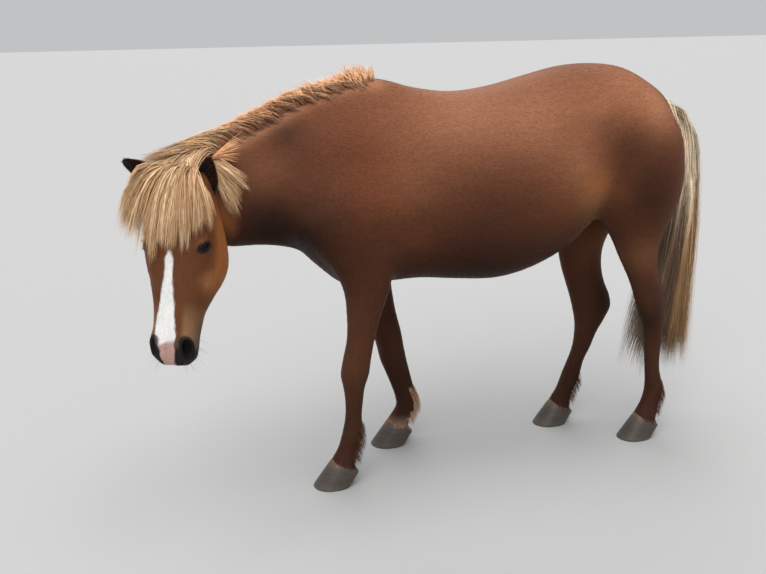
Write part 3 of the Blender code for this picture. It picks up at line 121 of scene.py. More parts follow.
RIGHT_FORE = (
    (1.160, -0.490, -0.420, 0.120, 0.020, 2.0, 2.0),
    (1.080, -0.540, -0.365, 0.140, 0.055, 2.0, 2.0),
    (0.990, -0.590, -0.325, 0.150, 0.078, 2.0, 2.0),
    (0.900, -0.595, -0.300, 0.155, 0.086, 2.0, 2.0),
    (0.820, -0.545, -0.280, 0.152, 0.080, 2.0, 2.0),
    (0.760, -0.490, -0.268, 0.147, 0.070, 2.0, 2.0),
    (0.690, -0.420, -0.244, 0.140, 0.060, 2.0, 2.0),
    (0.600, -0.370, -0.235, 0.132, 0.050, 2.0, 2.0),
    (0.510, -0.335, -0.221, 0.127, 0.043, 2.1, 2.1),
    (0.450, -0.318, -0.207, 0.124, 0.043, 2.3, 2.3),
    (0.385, -0.300, -0.196, 0.122, 0.043, 2.2, 2.4),
    (0.335, -0.289, -0.186, 0.121, 0.037, 2.0, 2.3),
    (0.280, -0.268, -0.173, 0.120, 0.031, 1.9, 2.1),
    (0.225, -0.247, -0.159, 0.120, 0.030, 1.9, 2.1),
    (0.180, -0.233, -0.144, 0.120, 0.035, 2.0, 2.1),
    (0.145, -0.230, -0.144, 0.120, 0.036, 2.0, 2.1),
    (0.115, -0.248, -0.163, 0.120, 0.035, 2.0, 2.1),
    (0.085, -0.268, -0.177, 0.120, 0.042, 2.0, 2.1),
    (0.025, -0.282, -0.184, 0.120, 0.046, 2.0, 2.1),
)
LEFT_HIND = (
    (1.340, 0.520, 0.620, -0.090, 0.030, 2.0, 2.0),
    (1.260, 0.450, 0.690, -0.110, 0.090, 2.0, 2.0),
    (1.170, 0.385, 0.750, -0.122, 0.120, 2.0, 2.0),
    (1.080, 0.368, 0.772, -0.125, 0.130, 2.0, 2.0),
    (1.000, 0.382, 0.774, -0.130, 0.127, 2.0, 2.0),
    (0.930, 0.412, 0.762, -0.135, 0.118, 2.0, 2.0),
    (0.860, 0.448, 0.735, -0.140, 0.103, 2.0, 2.0),
    (0.800, 0.493, 0.705, -0.140, 0.086, 1.9, 2.1),
    (0.710, 0.540, 0.690, -0.137, 0.066, 1.8, 2.1),
    (0.640, 0.580, 0.703, -0.134, 0.055, 1.6, 2.2),
    (0.580, 0.606, 0.733, -0.131, 0.047, 1.5, 2.3),
    (0.540, 0.620, 0.743, -0.130, 0.045, 1.5, 2.4),
    (0.490, 0.637, 0.742, -0.130, 0.044, 1.6, 2.4),
    (0.440, 0.658, 0.738, -0.130, 0.040, 1.7, 2.3),
    (0.385, 0.665, 0.737, -0.130, 0.034, 1.8, 2.1),
    (0.320, 0.671, 0.734, -0.130, 0.030, 1.8, 2.1),
    (0.260, 0.677, 0.737, -0.130, 0.030, 1.9, 2.1),
    (0.215, 0.682, 0.748, -0.130, 0.035, 2.0, 2.1),
    (0.175, 0.680, 0.755, -0.130, 0.037, 2.0, 2.1),
    (0.135, 0.667, 0.744, -0.130, 0.034, 2.0, 2.1),
    (0.105, 0.652, 0.737, -0.130, 0.037, 2.0, 2.1),
    (0.075, 0.638, 0.731, -0.130, 0.043, 2.0, 2.1),
    (0.025, 0.628, 0.727, -0.130, 0.045, 2.0, 2.1),
)
RIGHT_HIND = (
    (1.340, 0.520, 0.620, 0.090, 0.030, 2.0, 2.0),
    (1.260, 0.450, 0.690, 0.110, 0.090, 2.0, 2.0),
    (1.170, 0.385, 0.750, 0.122, 0.120, 2.0, 2.0),
    (1.080, 0.362, 0.778, 0.125, 0.130, 2.0, 2.0),
    (1.000, 0.355, 0.775, 0.130, 0.127, 2.0, 2.0),
    (0.930, 0.365, 0.745, 0.130, 0.118, 2.0, 2.0),
    (0.860, 0.383, 0.710, 0.125, 0.103, 2.0, 2.0),
    (0.800, 0.400, 0.668, 0.120, 0.088, 1.9, 2.1),
    (0.700, 0.423, 0.612, 0.112, 0.068, 1.8, 2.1),
    (0.620, 0.440, 0.608, 0.107, 0.056, 1.6, 2.2),
    (0.560, 0.458, 0.622, 0.103, 0.048, 1.5, 2.3),
    (0.500, 0.477, 0.647, 0.100, 0.046, 1.5, 2.4),
    (0.455, 0.488, 0.652, 0.098, 0.045, 1.5, 2.4),
    (0.410, 0.497, 0.628, 0.097, 0.041, 1.6, 2.3),
    (0.360, 0.497, 0.594, 0.096, 0.035, 1.8, 2.1),
    (0.300, 0.489, 0.569, 0.096, 0.031, 1.8, 2.1),
    (0.250, 0.472, 0.542, 0.096, 0.031, 1.9, 2.1),
    (0.200, 0.452, 0.528, 0.096, 0.035, 2.0, 2.1),
    (0.165, 0.440, 0.518, 0.096, 0.037, 2.0, 2.1),
    (0.130, 0.424, 0.500, 0.096, 0.034, 2.0, 2.1),
    (0.100, 0.406, 0.490, 0.096, 0.038, 2.0, 2.1),
    (0.075, 0.394, 0.486, 0.096, 0.043, 2.0, 2.1),
    (0.025, 0.384, 0.482, 0.096, 0.045, 2.0, 2.1),
)

# Hooves: front and back of the coronet, middle line, half width on the ground
HOOVES = {
    "hoof_front_left": (-0.552, -0.461, -0.140, 0.058),
    "hoof_front_right": (-0.268, -0.177, 0.120, 0.058),
    "hoof_hind_left": (0.638, 0.731, -0.130, 0.055),
    "hoof_hind_right": (0.394, 0.486, 0.096, 0.055),
}
CORONET_FRONT_HEIGHT = 0.085
CORONET_BACK_HEIGHT = 0.042
HOOF_TOE_SLOPE = math.radians(54.0)
HOOF_HEEL_LEAN = 0.40
HOOF_GROUND_LENGTH = 0.124
HOOF_EDGE = 0.002
HOOF_TAPER = 0.12
# rings of the horn and the coronet band: height and inset
HOOF_LEVELS = (
    (0.0, 0.006),
    (0.0, HOOF_EDGE),
    (HOOF_EDGE, 0.0003),
    (0.012, 0.0),
    (0.025, 0.0),
    (0.040, 0.0),
    (0.055, 0.0002),
    (0.070, 0.0006),
    (0.080, 0.0002),
    (0.090, 0.002),
    (0.098, 0.010),
)

# Dock: centre and radius down the bone of the tail
DOCK = (
    ((0.700, 0.0, 1.255), 0.036),
    ((0.788, 0.0, 1.226), 0.032),
    ((0.822, 0.0, 1.190), 0.029),
    ((0.842, 0.0, 1.130), 0.026),
    ((0.852, 0.0, 1.060), 0.022),
    ((0.856, 0.0, 0.990), 0.016),
)

# Head: it hangs below the poll, turned to the left and with the nose a little out
POLL = Vector((-0.989, -0.217, 1.118))
HEAD_TURN = math.radians(60.0)
NOSE_OUT = math.radians(20.0)
# distance down the face, face line, widest line, jaw line, half width, face and jaw roundness
HEAD = (
    (-0.033, -0.030, -0.052, -0.075, 0.038, 2.0, 2.0),
    (0.000, 0.000, -0.048, -0.105, 0.064, 2.0, 2.0),
    (0.055, 0.026, -0.045, -0.145, 0.086, 2.3, 2.0),
    (0.110, 0.040, -0.045, -0.182, 0.100, 2.6, 2.0),
    (0.160, 0.045, -0.048, -0.210, 0.109, 2.7, 2.2),
    (0.210, 0.043, -0.058, -0.228, 0.114, 2.7, 2.3),
    (0.260, 0.036, -0.074, -0.232, 0.112, 2.5, 2.3),
    (0.305, 0.030, -0.086, -0.222, 0.101, 2.4, 2.1),
    (0.345, 0.024, -0.080, -0.195, 0.088, 2.5, 1.9),
    (0.385, 0.018, -0.070, -0.162, 0.077, 2.6, 1.9),
    (0.430, 0.013, -0.060, -0.135, 0.070, 2.8, 2.0),
    (0.475, 0.009, -0.050, -0.118, 0.068, 2.9, 2.1),
    (0.510, 0.004, -0.044, -0.110, 0.069, 2.8, 2.2),
    (0.540, -0.006, -0.046, -0.102, 0.062, 2.5, 2.2),
    (0.560, -0.020, -0.052, -0.088, 0.038, 2.0, 2.0),
)
EYE_RADIUS = 0.0205
EYE_PLACE = (0.213, 0.006, 0.080)
EYE_TURN_FORWARD = math.radians(28.0)
LID_THICKNESS = 0.0028
LID_OPENING_LENGTH = 0.036
LID_OPENING_HEIGHT = 0.023
LID_UPPER_SHARE = 0.56
LID_ARCH = 1.3
# how much the long way of the opening leans out of the face and down it
EYE_SLANT = (0.80, 0.60)
EYE_FINE_REACH = 0.040

HEAD_MIDDLE = (0.270, -0.090, 0.0)
HEAD_REACH = 0.345
FINE_REACH = 0.042

# Swellings and hollows of the face: down, out, left, radius, height, on both sides
FACE_SWELLS = (
    (0.176, 0.022, 0.078, 0.026, 0.006),
    (0.150, -0.020, 0.086, 0.020, -0.004),
    (0.245, -0.115, 0.088, 0.055, 0.005),
    (0.285, -0.040, 0.088, 0.016, 0.004),
    (0.325, -0.044, 0.078, 0.016, 0.004),
    (0.300, -0.005, 0.070, 0.022, -0.003),
    (0.400, -0.090, 0.060, 0.030, -0.003),
    (0.505, -0.004, 0.060, 0.026, 0.009),
    (0.475, -0.012, 0.052, 0.018, 0.003),
    (0.535, -0.095, 0.020, 0.022, 0.006),
    (0.545, -0.030, 0.020, 0.020, 0.003),
)
# Nostril: its middle, half length, half width, depth and slant
NOSTRIL_PLACE = (0.507, -0.010, 0.053)
NOSTRIL_HALF_LENGTH = 0.028
NOSTRIL_HALF_WIDTH = 0.0165
NOSTRIL_DEPTH = 0.024
NOSTRIL_SLANT = math.radians(28.0)
NOSTRIL_INWARD = (-0.30, -0.45, -0.84)
NOSTRIL_STEEPNESS = 0.6
NOSTRIL_FINE_REACH = 0.045
# Line of the mouth, from its corner to the middle of the lips
MOUTH_LINE = (
    (0.452, -0.088, 0.058),
    (0.490, -0.084, 0.060),
    (0.525, -0.077, 0.050),
    (0.550, -0.070, 0.030),
    (0.560, -0.066, 0.000),
)
MOUTH_WIDTH = 0.0040
MOUTH_DEPTH = 0.0045

# Muscles and hollows of the body: x, y, z, radius, height, on both sides
BODY_SWELLS = (
    (-0.605, 0.160, 0.930, 0.050, 0.010),
    (-0.400, 0.220, 0.960, 0.085, 0.012),
    (-0.460, 0.160, 1.200, 0.070, 0.005),
    (-0.260, 0.235, 0.900, 0.050, -0.007),
    (0.405, 0.215, 1.235, 0.045, 0.010),
    (0.300, 0.245, 1.170, 0.070, -0.010),
    (0.460, 0.245, 0.930, 0.055, 0.007),
    (0.345, 0.215, 0.890, 0.045, -0.006),
    (0.650, 0.190, 1.100, 0.070, 0.006),
)

# Ears, along the head's axes: base, tip, the way the cup opens, and the bow to its side
EARS = {
    "ear_left": ((0.046, -0.068, 0.066), (-0.060, -0.024, 0.071), (0.17, 0.86, 0.36), -0.009),
    "ear_right": ((0.020, -0.052, -0.068), (-0.040, 0.000, -0.196), (0.40, 0.90, -0.05), 0.006),
}
# share of the ear's length, half width, half depth, half angle of the opening, wall's share
EAR_ROWS = (
    (0.00, 0.0170, 0.0160, 36.0, 0.80),
    (0.16, 0.0240, 0.0205, 58.0, 0.34),
    (0.34, 0.0315, 0.0235, 68.0, 0.14),
    (0.54, 0.0315, 0.0215, 73.0, 0.12),
    (0.74, 0.0235, 0.0155, 78.0, 0.14),
    (0.90, 0.0130, 0.0085, 84.0, 0.25),
    (1.00, 0.0030, 0.0030, 86.0, 0.40),
)
EAR_ARC_POINTS = 7
EAR_LEVELS = 8
EAR_BULGE = 0.010

# Hair: locks of the mane, forelock and tail
MANE_START = 0.06
MANE_END = 0.86
# angles around the neck: 90 is the crest, 0 the middle of its right side
MANE_ROOT_ANGLES = (74.0, 100.0)
MANE_FALL_ANGLE = 58.0
MANE_FALL_REACH = 34.0
MANE_STAND = 0.095
MANE_LEAN = 0.022
# share of the neck's length where the mane starts to sweep over the poll
SWEEP_START = 0.60
SWEEP_RISE = 0.060
# locks swept forward over the poll: root along the neck, then middle and end along the head's axes
POLL_SWEEP = (
    (0.66, (-0.150, -0.070, 0.050), (-0.085, -0.095, -0.070)),
    (0.72, (-0.135, -0.045, 0.030), (-0.070, -0.075, -0.110)),
    (0.78, (-0.115, -0.030, 0.000), (-0.055, -0.060, -0.150)),
    (0.83, (-0.095, -0.020, -0.010), (-0.045, -0.050, -0.170)),
    (0.88, (-0.070, -0.005, -0.020), (-0.035, -0.030, -0.150)),
    (0.92, (-0.050, 0.010, -0.010), (-0.030, 0.000, -0.130)),
)
# across the fan, right to left: end and middle of the locks as down, out, left
FORELOCK_FAN = (
    (-1.0, 0.150, -0.030, -0.168, 0.000, 0.040, -0.160),
    (-0.7, 0.195, 0.010, -0.165, 0.020, 0.070, -0.150),
    (-0.4, 0.254, 0.045, -0.120, 0.040, 0.090, -0.110),
    (-0.1, 0.268, 0.050, -0.060, 0.060, 0.095, -0.050),
    (0.3, 0.254, 0.048, 0.010, 0.060, 0.090, 0.010),
    (0.7, 0.214, 0.040, 0.068, 0.050, 0.075, 0.070),
    (1.0, 0.165, 0.010, 0.105, 0.040, 0.050, 0.100),
)
TAIL_ENDS_FRONT = 0.655
TAIL_ENDS_BACK = 0.935
TAIL_SWELL_FRONT = 0.022
TAIL_SWELL_BACK = 0.076
TAIL_HANG_X = 0.432
TAIL_HANG_HEIGHT = 0.56
TAIL_TOP_SWELL = 0.115

# The cut between neck and head, as down and out along the head's axes
HEAD_CUT = ((-0.030, -0.085), (0.200, -0.222))

# Skin, coat and hair
LID_MARGIN = 0.0013
EYE_FINEST_REACH = 0.030
EYE_HAIR_GAP = 0.030
# folds of the lids: times the opening's size, first and last point, thickness, height
LID_FOLDS = (
    (1.34, 2, 22, 0.0016, 0.0034),
    (1.62, 4, 20, 0.0013, 0.0030),
    (1.32, 27, 45, 0.0014, 0.0030),
)
EAR_HAIR_GAP = 0.036
# share of each ear's length from where long hair keeps beside it
EAR_BARE_FROM = (0.0, 0.42)
EAR_CUP_ARC_POINTS = 13
EAR_CUP_LEVELS = 26
LID_POINTS = 48
TUBE_SIDES = 8
# added to the skin's normals, so that long hair shades as one soft surface under the sky
HAIR_LIGHT = Vector((0.0, -0.15, 0.60))
# whiskers keep this many nostril sizes away from each nostril's middle
NOSTRIL_CLEAR = 1.3
# locks behind the near ear: share of the fan, then middle and end as places on the neck
TUFT_FAN = (
    (0.00, 0.84, 132.0, 0.67, 166.0),
    (0.25, 0.87, 138.0, 0.71, 174.0),
    (0.50, 0.90, 144.0, 0.78, 184.0),
    (0.75, 0.94, 152.0, 0.84, 195.0),
    (1.00, 0.97, 160.0, 0.94, 200.0),
)
SKIN_BODY_TRIANGLES = 70000
SKIN_HEAD_TRIANGLES = 60000
HAIR_ROOT_DEPTH = 0.004
# least and most height of a long hair over the skin, and the largest share that it is cut short
HAIR_LIFT = (0.001, 0.014)
HAIR_SHORTER = 0.16
ROOT_TONE = 0.80
TIP_TONE = 1.06
# the skin between the tufts is a little darker than they are
SKIN_TONE = 0.97
# size of a hair's patch on the unwrap
PATCH_SIZE = 0.003
SEED = 7
# Locks and the hairs in each
FORELOCK_LOCKS = 110
FORELOCK_HAIRS = 27
MANE_LOCKS = 500
CREST_LOCKS = 120
STRAY_LOCKS = 5
MANE_HAIRS = 8
POLL_LOCKS = 70
TUFT_LOCKS = 30
CROWN_LOCKS = 95
FRONT_HAIRS = 21
INNER_TAIL_LOCKS = 68
OUTER_TAIL_LOCKS = 46
TAIL_HAIRS = 40
LASHES = 60
FETLOCK_HAIRS = 1800
EAR_HAIRS = 420
WHISKERS = 70
# Steps along a hair
LOCK_STEPS = 7
TAIL_STEPS = 10
FINE_STEPS = 4
# start and end of each part's strip on the unwrap: torso, neck, head, legs
CHARTS = ((0.00, 0.40), (0.40, 0.56), (0.56, 0.76),
          (0.76, 0.82), (0.82, 0.88), (0.88, 0.94), (0.94, 1.00))

# Camera, in the form's own axes
CAMERA_PLACE = (-1.2387, -3.0541, 1.5479)
CAMERA_HEADING = math.radians(16.92)
CAMERA_PITCH = math.radians(15.70)
CAMERA_ROLL = math.radians(0.9)
SENSOR_WIDTH = 36.0
CAMERA_LENS = 950.0 / 766.0 * SENSOR_WIDTH
FLOOR_REACH = 60.0
# suns: name, the way the light goes, how soft it is, strength
LIGHTS = (
    ("key", (0.45, 0.75, -0.75), 35.0, 0.9),
    ("sky", (0.05, 0.10, -1.0), 60.0, 2.3),
    ("back", (-0.25, -0.80, -0.75), 40.0, 0.7),
)


def origin_shift():
    """From the row's frame to the form's own axes, found from one hoof."""
    low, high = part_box("hoof_front_left")
    front, _, middle, _ = HOOVES["hoof_front_left"]
    toe = front + (HOOF_EDGE - CORONET_FRONT_HEIGHT) / math.tan(HOOF_TOE_SLOPE)
    return np.array((toe - low.x, middle - (low.y + high.y) / 2, 0.0))


SHIFT = origin_shift()


def between(keys, table, at):
    """Smooth values of the table's columns at new keys, through every row."""
    slopes = np.gradient(table, keys, axis=0)
    low = np.clip(np.searchsorted(keys, at, side="right") - 1, 0, len(keys) - 2)
    span = keys[low + 1] - keys[low]
    u = ((at - keys[low]) / span)[:, None]
    span = span[:, None]
    start = table[low] * (1 + 2 * u) * (1 - u) ** 2 + slopes[low] * span * u * (1 - u) ** 2
    end = table[low + 1] * u ** 2 * (3 - 2 * u) + slopes[low + 1] * span * u ** 2 * (u - 1)
    return start + end


def egg(count, high_roundness, low_roundness):
    """Across and along values of a closed unit outline, rounder or squarer at each end."""
    angle = np.linspace(0.0, 2 * math.pi, count, endpoint=False)
    power = 2.0 / np.where(np.sin(angle) >= 0, high_roundness, low_roundness)
    across = np.sign(np.cos(angle)) * np.abs(np.cos(angle)) ** power
    along = np.sign(np.sin(angle)) * np.abs(np.sin(angle)) ** power
    return across, along


def loft(name, rings):
    """One closed mesh through rings of points that all have the same count."""
    count = rings.shape[1]
    faces = []
    for ring in range(len(rings) - 1):
        for i in range(count):
            j = (i + 1) % count
            faces.append((ring * count + i, ring * count + j,
                          (ring + 1) * count + j, (ring + 1) * count + i))
    faces.append(tuple(range(count))[::-1])
    faces.append(tuple(range((len(rings) - 1) * count, len(rings) * count)))
    mesh = bpy.data.meshes.new(name)
    mesh.from_pydata(rings.reshape(-1, 3).tolist(), [], faces)
    shape = bmesh.new()
    shape.from_mesh(mesh)
    bmesh.ops.recalc_face_normals(shape, faces=shape.faces)
    shape.to_mesh(mesh)
    shape.free()
    return mesh


def finer(rows, key):
    """Rows of a station table, resampled evenly along their first column."""
    table = np.array(rows)
    order = np.argsort(table[:, key])
    table = table[order]
    keys = table[:, key]
    count = max(4, int((keys[-1] - keys[0]) * SLICES_PER_METRE))
    at = np.linspace(keys[0], keys[-1], count)
    return between(keys, table, at)


def trunk_mesh():
    """The torso's loft, in slices from chest to rump."""
    rings = []
    for x, top, bottom, half, widest, up, down in finer(TRUNK, 0):
        across, along = egg(RING_POINTS, up, down)
        height = np.where(along >= 0, top - widest, widest - bottom)
        rings.append(np.stack([np.full(RING_POINTS, x), across * half,
                               widest + along * height], axis=1))
    return loft("trunk", np.array(rings))


def leg_mesh(rows):
    """A leg's loft, in level slices."""
    rings = []
    for z, front, back, middle, half, rear_round, front_round in finer(rows, 0):
        across, along = egg(RING_POINTS, rear_round, front_round)
        rings.append(np.stack([(front + back) / 2 + along * (back - front) / 2,
                               middle + across * half, np.full(RING_POINTS, z)], axis=1))
    return loft("leg", np.array(rings))


def neck_mesh():
    """The neck's loft, through the lines of its crest and its throat."""
    flat = np.array([[*crest, *throat, half] for crest, throat, half in NECK])
    keys = np.linspace(0.0, 1.0, len(flat))
    rows = between(keys, flat, np.linspace(0.0, 1.0, 60))
    crest = rows[:, 0:3]
    throat = rows[:, 3:6]
    middle = (crest + throat) / 2
    rise = (crest - throat) / 2
    heading = np.gradient(middle, axis=0)
    side = np.cross(heading, rise)
    side /= np.linalg.norm(side, axis=1, keepdims=True)
    across, along = egg(RING_POINTS, 1.7, 2.2)
    rings = (middle[:, None] + rise[:, None] * along[None, :, None]
             + side[:, None] * across[None, :, None] * rows[:, 6][:, None, None])
    return loft("neck", rings)


def dock_mesh():
    """The bone of the tail, a tapered round loft."""
    centres = np.array([centre for centre, _ in DOCK])
    radii = np.array([radius for _, radius in DOCK])
    heading = np.gradient(centres, axis=0)
    heading /= np.linalg.norm(heading, axis=1, keepdims=True)
    across, along = egg(RING_POINTS, 2.0, 2.0)
    rings = []
    for centre, radius, ahead in zip(centres, radii, heading):
        side = np.array((0.0, 1.0, 0.0))
        up = np.cross(ahead, side)
        rings.append(centre + radius * (across[:, None] * side + along[:, None] * up))
    return loft("dock", np.array(rings))


def head_axes():
    """Down the face, out of the face, and the head's own left."""
    facing = Vector((-math.cos(HEAD_TURN), -math.sin(HEAD_TURN), 0.0))
    up = Vector((0.0, 0.0, 1.0))
    down_face = facing * math.sin(NOSE_OUT) - up * math.cos(NOSE_OUT)
    out_of_face = facing * math.cos(NOSE_OUT) + up * math.sin(NOSE_OUT)
    return down_face, out_of_face, out_of_face.cross(down_face)


def head_rows():
    """The head's axes as the rows of an array."""
    return np.array([list(axis) for axis in head_axes()])


def on_head(down, out, left):
    """World place of a point given along the head's own axes."""
    down_face, out_of_face, own_left = head_axes()
    return POLL + down_face * down + out_of_face * out + own_left * left


def head_mesh():
    """The head's loft, in slices down the face."""
    down_face, out_of_face, own_left = head_rows()
    rings = []
    for down, face, widest, jaw, half, front_round, jaw_round in finer(HEAD, 0):
        across, along = egg(RING_POINTS, front_round, jaw_round)
        out = widest + along * np.where(along >= 0, face - widest, widest - jaw)
        rings.append(np.array(POLL) + down_face * down + out[:, None] * out_of_face
                     + (across * half)[:, None] * own_left)
    return loft("head", np.array(rings))


def sphere_mesh(name, centre, radius, segments, ring_count):
    mesh = bpy.data.meshes.new(name)
    shape = bmesh.new()
    bmesh.ops.create_uvsphere(shape, u_segments=segments, v_segments=ring_count, radius=radius)
    bmesh.ops.translate(shape, verts=shape.verts, vec=centre)
    shape.to_mesh(mesh)
    shape.free()
    return mesh


def eye_centre(side):
    down, out, left = EYE_PLACE
    return on_head(down, out, left * side)


def evaluated_mesh(thing):
    """The mesh of an object with its modifiers applied."""
    bpy.context.view_layer.update()
    graph = bpy.context.evaluated_depsgraph_get()
    return bpy.data.meshes.new_from_object(thing.evaluated_get(graph))


def melted(meshes, voxel):
    """One closed skin around all the overlapping meshes."""
    joined = bmesh.new()
    for mesh in meshes:
        joined.from_mesh(mesh)
    mesh = bpy.data.meshes.new("flesh")
    joined.to_mesh(mesh)
    joined.free()
    thing = bpy.data.objects.new("flesh", mesh)
    bpy.context.scene.collection.objects.link(thing)
    remesh = thing.modifiers.new("melt", "REMESH")
    remesh.mode = "VOXEL"
    remesh.voxel_size = voxel
    thing.data = evaluated_mesh(thing)
    thing.modifiers.clear()
    return thing


def points_of(mesh):
    flat = np.empty(len(mesh.vertices) * 3, dtype=np.float64)
    mesh.vertices.foreach_get("co", flat)
    return flat.reshape(-1, 3)


def normals_of(mesh):
    flat = np.empty(len(mesh.vertices) * 3, dtype=np.float32)
    mesh.vertex_normals.foreach_get("vector", flat)
    return flat.reshape(-1, 3).astype(np.float64)


def loop_corners(mesh):
    corners = np.empty(len(mesh.loops), dtype=np.int32)
    mesh.loops.foreach_get("vertex_index", corners)
    return corners


def set_points(mesh, points):
    mesh.vertices.foreach_set("co", points.ravel())
    mesh.update()


def relax(mesh, rounds, strength, swell):
    """Smooths the skin; strength is one number for each point, and swell undoes shrinking."""
    points = points_of(mesh)
    edges = np.empty(len(mesh.edges) * 2, dtype=np.int64)
    mesh.edges.foreach_get("vertices", edges)
    edges = edges.reshape(-1, 2)
    count = len(points)
    degree = np.bincount(edges.ravel(), minlength=count)[:, None]
    for _ in range(rounds):
        for factor in (0.5, -0.5 * swell):
            if factor == 0:
                continue
            total = np.empty_like(points)
            for axis in range(3):
                total[:, axis] = (np.bincount(edges[:, 0], points[edges[:, 1], axis], count)
                                  + np.bincount(edges[:, 1], points[edges[:, 0], axis], count))
            points += factor * strength[:, None] * (total / degree - points)
    set_points(mesh, points)


def refine(mesh, centre, radius):
    """Splits the faces around a point in four."""
    shape = bmesh.new()
    shape.from_mesh(mesh)
    centre = Vector(centre)
    edges = [edge for edge in shape.edges
             if all((vert.co - centre).length < radius for vert in edge.verts)]
    bmesh.ops.subdivide_edges(shape, edges=edges, cuts=1, smooth=1.0, use_grid_fill=True)
    bmesh.ops.triangulate(shape, faces=[face for face in shape.faces if len(face.verts) > 4])
    shape.to_mesh(mesh)
    shape.free()


def along_head(points):
    """Down, out and left values of world points, along the head's axes."""
    return (points - np.array(POLL)) @ head_rows().T


def swelling(places, centre, radius, height):
    """Height at each place of a round swelling that fades out around its centre."""
    away = places - np.array(centre)
    return height * np.exp(-np.sum(away * away, axis=1) / radius ** 2)


def shape_body(mesh):
    """Raises the muscles and sinks the hollows of the body."""
    points = points_of(mesh)
    rise = np.zeros(len(points))
    for x, y, z, radius, height in BODY_SWELLS:
        for side in (1, -1):
            rise += swelling(points, (x, side * y, z), radius, height)
    set_points(mesh, points + normals_of(mesh) * rise[:, None])


def line_distance(places, line):
    """Distance from each place to the nearest point of a line through a few points."""
    best = np.full(len(places), np.inf)
    for start, end in zip(line[:-1], line[1:]):
        start = np.array(start)
        step = np.array(end) - start
        share = np.clip((places - start) @ step / (step @ step), 0.0, 1.0)
        away = places - start - share[:, None] * step
        best = np.minimum(best, np.linalg.norm(away, axis=1))
    return best


def shape_face(mesh):
    """Raises the bones of the face and sinks its hollows, mouth and nostrils."""
    points = points_of(mesh)
    places = along_head(points)
    places[:, 2] = np.abs(places[:, 2])
    rise = np.zeros(len(points))
    for down, out, left, radius, height in FACE_SWELLS:
        rise += swelling(places, (down, out, left), radius, height)
    groove = line_distance(places, MOUTH_LINE)
    rise -= MOUTH_DEPTH * np.exp(-(groove / MOUTH_WIDTH) ** 2)
    set_points(mesh, points + normals_of(mesh) * rise[:, None])
    sink_nostrils(mesh)


def nostril_reach(places, side):
    """How many nostril sizes away each place is, its depth along the nostril, and the way in."""
    away = places - np.array(NOSTRIL_PLACE) * (1, 1, side)
    long_way = np.array((math.cos(NOSTRIL_SLANT), -math.sin(NOSTRIL_SLANT), 0.0))
    inward = np.array(NOSTRIL_INWARD) * (1, 1, side)
    inward /= np.linalg.norm(inward)
    short_way = np.cross(long_way, inward)
    short_way /= np.linalg.norm(short_way)
    reach = np.sqrt((away @ long_way / NOSTRIL_HALF_LENGTH) ** 2
                    + (away @ short_way / NOSTRIL_HALF_WIDTH) ** 2)
    return reach, away @ inward, inward


def sink_nostrils(mesh):
    """Pushes each nostril's skin inwards, deep in its middle and steep at its rim."""
    points = points_of(mesh)
    places = along_head(points)
    for side in (1, -1):
        reach, along, inward = nostril_reach(places, side)
        depth = np.clip(1.0 - reach, 0.0, 1.0) ** NOSTRIL_STEEPNESS * NOSTRIL_DEPTH
        depth[np.abs(along) > NOSTRIL_DEPTH] = 0.0
        points += (depth[:, None] * inward) @ head_rows()
    set_points(mesh, points)


def body_meshes():
    """The lofts of the body, with a round mound for each eye."""
    meshes = [trunk_mesh(), neck_mesh(), head_mesh(), dock_mesh()]
    for rows in (LEFT_FORE, RIGHT_FORE, LEFT_HIND, RIGHT_HIND):
        meshes.append(leg_mesh(rows))
    for side in (1, -1):
        meshes.append(sphere_mesh("lid", eye_centre(side), EYE_RADIUS + LID_THICKNESS, 32, 24))
    return meshes


def smooth_flesh(mesh):
    """Blends the lofts into each other above the legs, then evens out the whole skin."""
    points = points_of(mesh)
    upper = np.clip((points[:, 2] - BLEND_ABOVE) / BLEND_ABOVE_FADE, 0.0, 1.0)
    behind_head = np.clip((points[:, 0] - BLEND_BEHIND) / BLEND_BEHIND_FADE, 0.0, 1.0)
    relax(mesh, BLEND_ROUNDS, upper * behind_head, 0)
    relax(mesh, EVEN_ROUNDS, np.full(len(points), 1.0), EVEN_SWELL)


def refine_head(mesh):
    """Finer faces on the head, and finest at the nostrils and eyes."""
    refine(mesh, on_head(*HEAD_MIDDLE), HEAD_REACH)
    for side in (1, -1):
        down, out, left = NOSTRIL_PLACE
        refine(mesh, on_head(down, out, side * left), NOSTRIL_FINE_REACH)
        refine(mesh, eye_centre(side), EYE_FINE_REACH)


def head_zones(mesh):
    """Which points belong to the head, and which of those lie near an eye or a nostril."""
    places = along_head(points_of(mesh))
    on_the_head = np.linalg.norm(places - np.array(HEAD_MIDDLE), axis=1) <= HEAD_REACH
    fine = np.zeros(len(places), dtype=bool)
    for down, out, left in (EYE_PLACE, NOSTRIL_PLACE):
        for side in (1, -1):
            away = places - np.array((down, out, left * side))
            fine |= np.linalg.norm(away, axis=1) < FINE_REACH
    return on_the_head, fine


def eye_frame(side):
    """Outward, along and up directions of the eye's opening."""
    down_face, out_of_face, _ = head_axes()
    outward = eye_outward(side)
    long_way = out_of_face * EYE_SLANT[0] + down_face * EYE_SLANT[1]
    long_way = (long_way - outward * long_way.dot(outward)).normalized()
    high_way = outward.cross(long_way)
    if high_way.dot(down_face) > 0:
        high_way = -high_way
    return outward, long_way, high_way


def almond(count):
    """Along and up values around the lids' opening; the upper lid is more arched."""
    outline = []
    for step in range(count):
        angle = 2 * math.pi * step / count
        arch = LID_UPPER_SHARE if math.sin(angle) > 0 else 1 - LID_UPPER_SHARE
        outline.append((math.cos(angle) * LID_OPENING_LENGTH / 2,
                        math.copysign(abs(math.sin(angle)) ** LID_ARCH, math.sin(angle))
                        * LID_OPENING_HEIGHT * arch))
    return outline


def triangle_count(mesh):
    return sum(len(face.vertices) - 2 for face in mesh.polygons)


